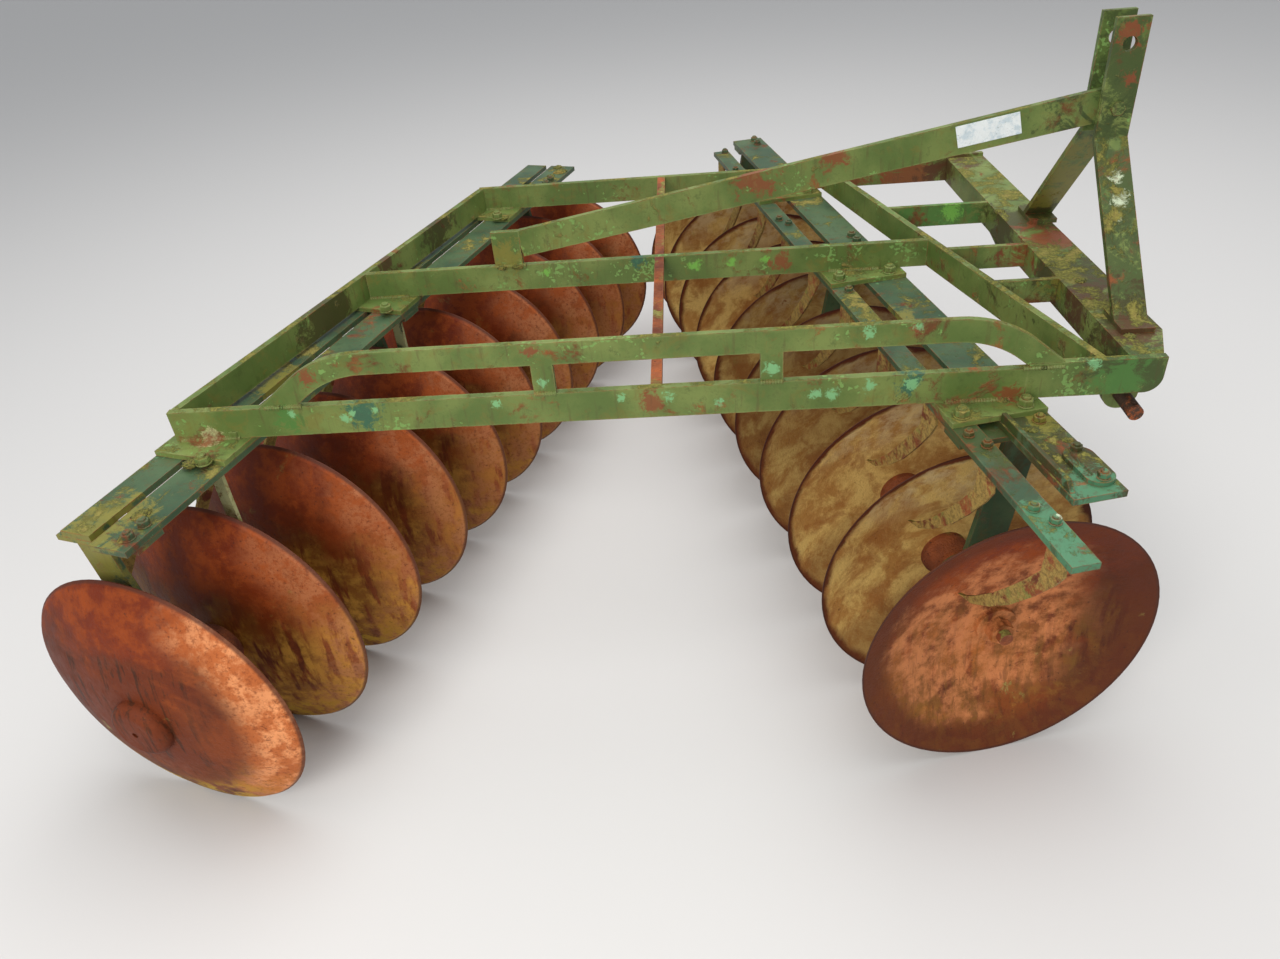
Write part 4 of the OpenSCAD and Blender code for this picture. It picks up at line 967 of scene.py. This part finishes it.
# %% Lay the weld beads
BEAD_LONG, BEAD_RADIUS, BEAD_STEP = 0.040, 0.0042, 0.0025
deselect()
bpy.ops.mesh.primitive_circle_add(vertices=8, radius=BEAD_RADIUS, fill_type="NGON",
                                  rotation=(0, math.pi / 2, 0))
bpy.ops.object.transform_apply(location=False, rotation=True, scale=False)
bead = bpy.context.object
bpy.ops.object.mode_set(mode="EDIT")
bpy.ops.mesh.select_all(action="SELECT")
for step in range(round(BEAD_LONG / BEAD_STEP)):
    size = 0.80 if step % 2 else 1.25
    bpy.ops.mesh.extrude_region_move(TRANSFORM_OT_translate={"value": (BEAD_STEP, 0, 0)})
    bpy.ops.transform.resize(value=(1, size, size))
bpy.ops.mesh.select_all(action="SELECT")
bpy.ops.mesh.normals_make_consistent(inside=False)
bpy.ops.object.mode_set(mode="OBJECT")
bead.name = "bead"

# the bars' near faces, and half the length of the weld at a saddle and at a post
NEAR_FACE, MIDDLE_FACE, FAR_FACE = -0.6582, -0.0682, 0.4838
BAR_THICK, SADDLE_HALF, POST_HALF, FOOT_LONG = 0.015, 0.055, 0.020, 0.06
CORNER = NEAR_FACE + 0.0015
bead_spots = []


def weld(start, end):
    """Lays a row of beads from one point to another."""
    start, end = Vector(start), Vector(end)
    run = end - start
    count = max(1, round(run.length / BEAD_LONG))
    turn = run.to_track_quat("X", "Z").to_euler()
    for step in range(count):
        bead_spots.append((start + run * (step / count), turn, 1.0))


for face, front_x, rear_x in ((NEAR_FACE, 0.703, -0.696), (MIDDLE_FACE, 0.576, -0.510),
                              (FAR_FACE, 0.458, -0.336)):
    for middle_x in (front_x, rear_x):
        for side in (0, BAR_THICK):
            weld((middle_x - SADDLE_HALF, face + side, SADDLE_TOP),
                 (middle_x + SADDLE_HALF, face + side, SADDLE_TOP))
for post_x in (-0.0587, 0.3433):
    weld((post_x - POST_HALF, CORNER, FRAME_TOP), (post_x + POST_HALF, CORNER, FRAME_TOP))
for foot_x in (-0.575, 0.775):
    weld((foot_x, CORNER, FRAME_TOP), (foot_x + FOOT_LONG, CORNER, FRAME_TOP))
weld((-0.237, MIDDLE_FACE, FRAME_TOP), (-0.173, MIDDLE_FACE, FRAME_TOP))
weld_beads = copies(bead, bead_spots, "weld_beads")
dress(weld_beads, frame_paint, "frame")
print("beads", len(bead_spots), "faces", len(weld_beads.data.polygons))

# %% [markdown]
# ## Moss cushions
# Real moss stands proud of the metal, so paint alone isn't enough. A clump is a flattened
# ball with its surface pushed in and out by cloud noise, sunk a little into what it grows on.
# Three clumps of other noise are made, and copied to the corners where water stays.

# %% Grow the moss cushions
moss_green, tree, place, _ = start_finish("moss_cushion")
fine = blotch(tree, place, 0.0035, detail=3.0, rough=0.75)
broad = blotch(tree, place, 0.03, detail=4.0, rough=0.6)
colour = lay_over(tree, cut(tree, fine, 0.38, 0.62), card(62, 64, 26), card(122, 120, 48))
colour = lay_over(tree, cut(tree, broad, 0.50, 0.66), colour, card(142, 122, 58))
end_finish(moss_green, colour, 0.95, fine, 0.004)

cloud = bpy.data.textures.new("moss_cloud", "CLOUDS")
cloud.noise_scale = 0.25
CLUMP_APART, CLUMP_WIDE, CLUMP_TALL, SUNK_SHARE = 5, 0.8, 0.38, 0.10
clump_models = []
for kind in range(3):
    deselect()
    bpy.ops.mesh.primitive_ico_sphere_add(subdivisions=4, radius=1,
                                          location=(kind * CLUMP_APART, 0, 0))
    clump = bpy.context.object
    bpy.ops.object.transform_apply(location=True, rotation=False, scale=False)
    ruffle = clump.modifiers.new("ruffle", "DISPLACE")
    ruffle.texture, ruffle.texture_coords, ruffle.strength = cloud, "LOCAL", 0.7
    bpy.ops.object.modifier_apply(modifier=ruffle.name)
    for vertex in clump.data.vertices:
        vertex.co = Vector((vertex.co.x - kind * CLUMP_APART, vertex.co.y * CLUMP_WIDE,
                            vertex.co.z * CLUMP_TALL))
    bpy.ops.object.shade_smooth()
    clump_models.append(clump)

MOSS_SPOTS = [
    (on_gang(FRONT_GANG, 0.290, 0.040, SADDLE_TOP), 0.020),
    (on_gang(FRONT_GANG, 0.262, -0.010, SADDLE_TOP), 0.016),
    (on_gang(FRONT_GANG, 0.225, -0.045, SADDLE_TOP), 0.018),
    (on_gang(FRONT_GANG, 0.190, -0.060, BEAM_TOP), 0.013),
    (on_gang(FRONT_GANG, 0.130, -0.050, BEAM_TOP), 0.012),
    (on_gang(FRONT_GANG, 0.085, -0.090, BEAM_TOP), 0.010),
    (on_gang(REAR_GANG, 0.069, 0.054, BEAM_TOP), 0.024),
    (on_gang(REAR_GANG, 0.030, 0.030, BEAM_TOP), 0.018),
    (on_gang(REAR_GANG, 0.110, 0.040, BEAM_TOP), 0.015),
    (on_gang(REAR_GANG, 0.480, 0.060, SADDLE_TOP), 0.016),
    (on_gang(REAR_GANG, 1.700, 0.020, SADDLE_TOP), 0.016),
    (on_gang(REAR_GANG, 1.840, 0.030, BEAM_TOP), 0.018),
    (on_gang(REAR_GANG, 1.900, 0.050, BEAM_TOP), 0.014),
    (Vector((-0.222, -0.071, 0.719)), 0.012), (Vector((-0.186, -0.071, 0.720)), 0.014),
    (Vector((0.955, -0.235, 0.719)), 0.013), (Vector((0.985, -0.320, 0.719)), 0.016),
    (Vector((0.990, -0.560, 0.719)), 0.014), (Vector((0.935, 0.080, 0.719)), 0.014)]
moss_parts = []
for kind, model in enumerate(clump_models):
    spots = [(spot - Vector((0, 0, size * SUNK_SHARE)), spin(step), size)
             for step, (spot, size) in enumerate(MOSS_SPOTS)
             if step % len(clump_models) == kind]
    moss_parts.append(copies(model, spots, "moss_part"))
moss_cushions = join_up(moss_parts, "moss_cushions")
dress(moss_cushions, moss_green, "frame")
print("moss", len(MOSS_SPOTS), "cushions,", len(moss_cushions.data.polygons), "faces")

# %% [markdown]
# ## The blank plate on the brace
# A pale plate of thin sheet is stuck to the brace's near face. It is left bare. A grid is
# bent a little at one corner, where it has come loose, and then gets its thickness.

# %% Stick the pale plate on the brace
BRACE_START = Vector((-0.1727, -0.0607, 0.770))
BRACE_PLAN, BRACE_RISE, BRACE_THICK = math.radians(-8.538), math.radians(12.761), 0.015
PLATE_FROM, PLATE_TO, PLATE_LOW, PLATE_HIGH = 0.948, 1.066, -0.016, 0.026

deselect()
bpy.ops.mesh.primitive_grid_add(x_subdivisions=24, y_subdivisions=10, size=1)
pale_plate = bpy.context.object
for vertex in pale_plate.data.vertices:
    across, tall = vertex.co.x + 0.5, vertex.co.y + 0.5
    lift = 0.0030 * max(0.0, across + tall - 1.55) ** 1.5
    dent = 0.0004 * math.sin(across * 19 + tall * 7)
    vertex.co = Vector((PLATE_FROM + (PLATE_TO - PLATE_FROM) * across,
                        -(BRACE_THICK / 2 + 0.0006 + lift + abs(dent)),
                        PLATE_LOW + (PLATE_HIGH - PLATE_LOW) * tall))
sheet_wall = pale_plate.modifiers.new("sheet", "SOLIDIFY")
sheet_wall.thickness, sheet_wall.offset = 0.0008, 0
bpy.ops.object.modifier_apply(modifier=sheet_wall.name)
bpy.ops.object.mode_set(mode="EDIT")
bpy.ops.mesh.select_all(action="SELECT")
bpy.ops.mesh.normals_make_consistent(inside=False)
bpy.ops.object.mode_set(mode="OBJECT")
pale_plate.location = BRACE_START
pale_plate.rotation_euler = (Matrix.Rotation(BRACE_PLAN, 3, "Z")
                             @ Matrix.Rotation(-BRACE_RISE, 3, "Y")).to_euler()
pale_plate = join_up([pale_plate], "pale_plate")

plate_finish, tree, place, _ = start_finish("pale_plate_finish")
stain = blotch(tree, place, 0.02, detail=6.0, rough=0.7)
scuff = blotch(tree, place, 0.004, detail=4.0, rough=0.75)
colour = lay_over(tree, cut(tree, stain, 0.46, 0.62), card(228, 233, 233), card(196, 210, 216))
colour = lay_over(tree, cut(tree, scuff, 0.60, 0.70), colour, card(142, 146, 132))
end_finish(plate_finish, colour, 0.35, scuff, 0.0006, 0.6)
dress(pale_plate, plate_finish, "frame")
print("plate", [round(v, 3) for v in pale_plate.dimensions])

# %% Put the models away
for model in [bolt_end, clamp_model, bead] + clump_models:
    bpy.data.objects.remove(model)
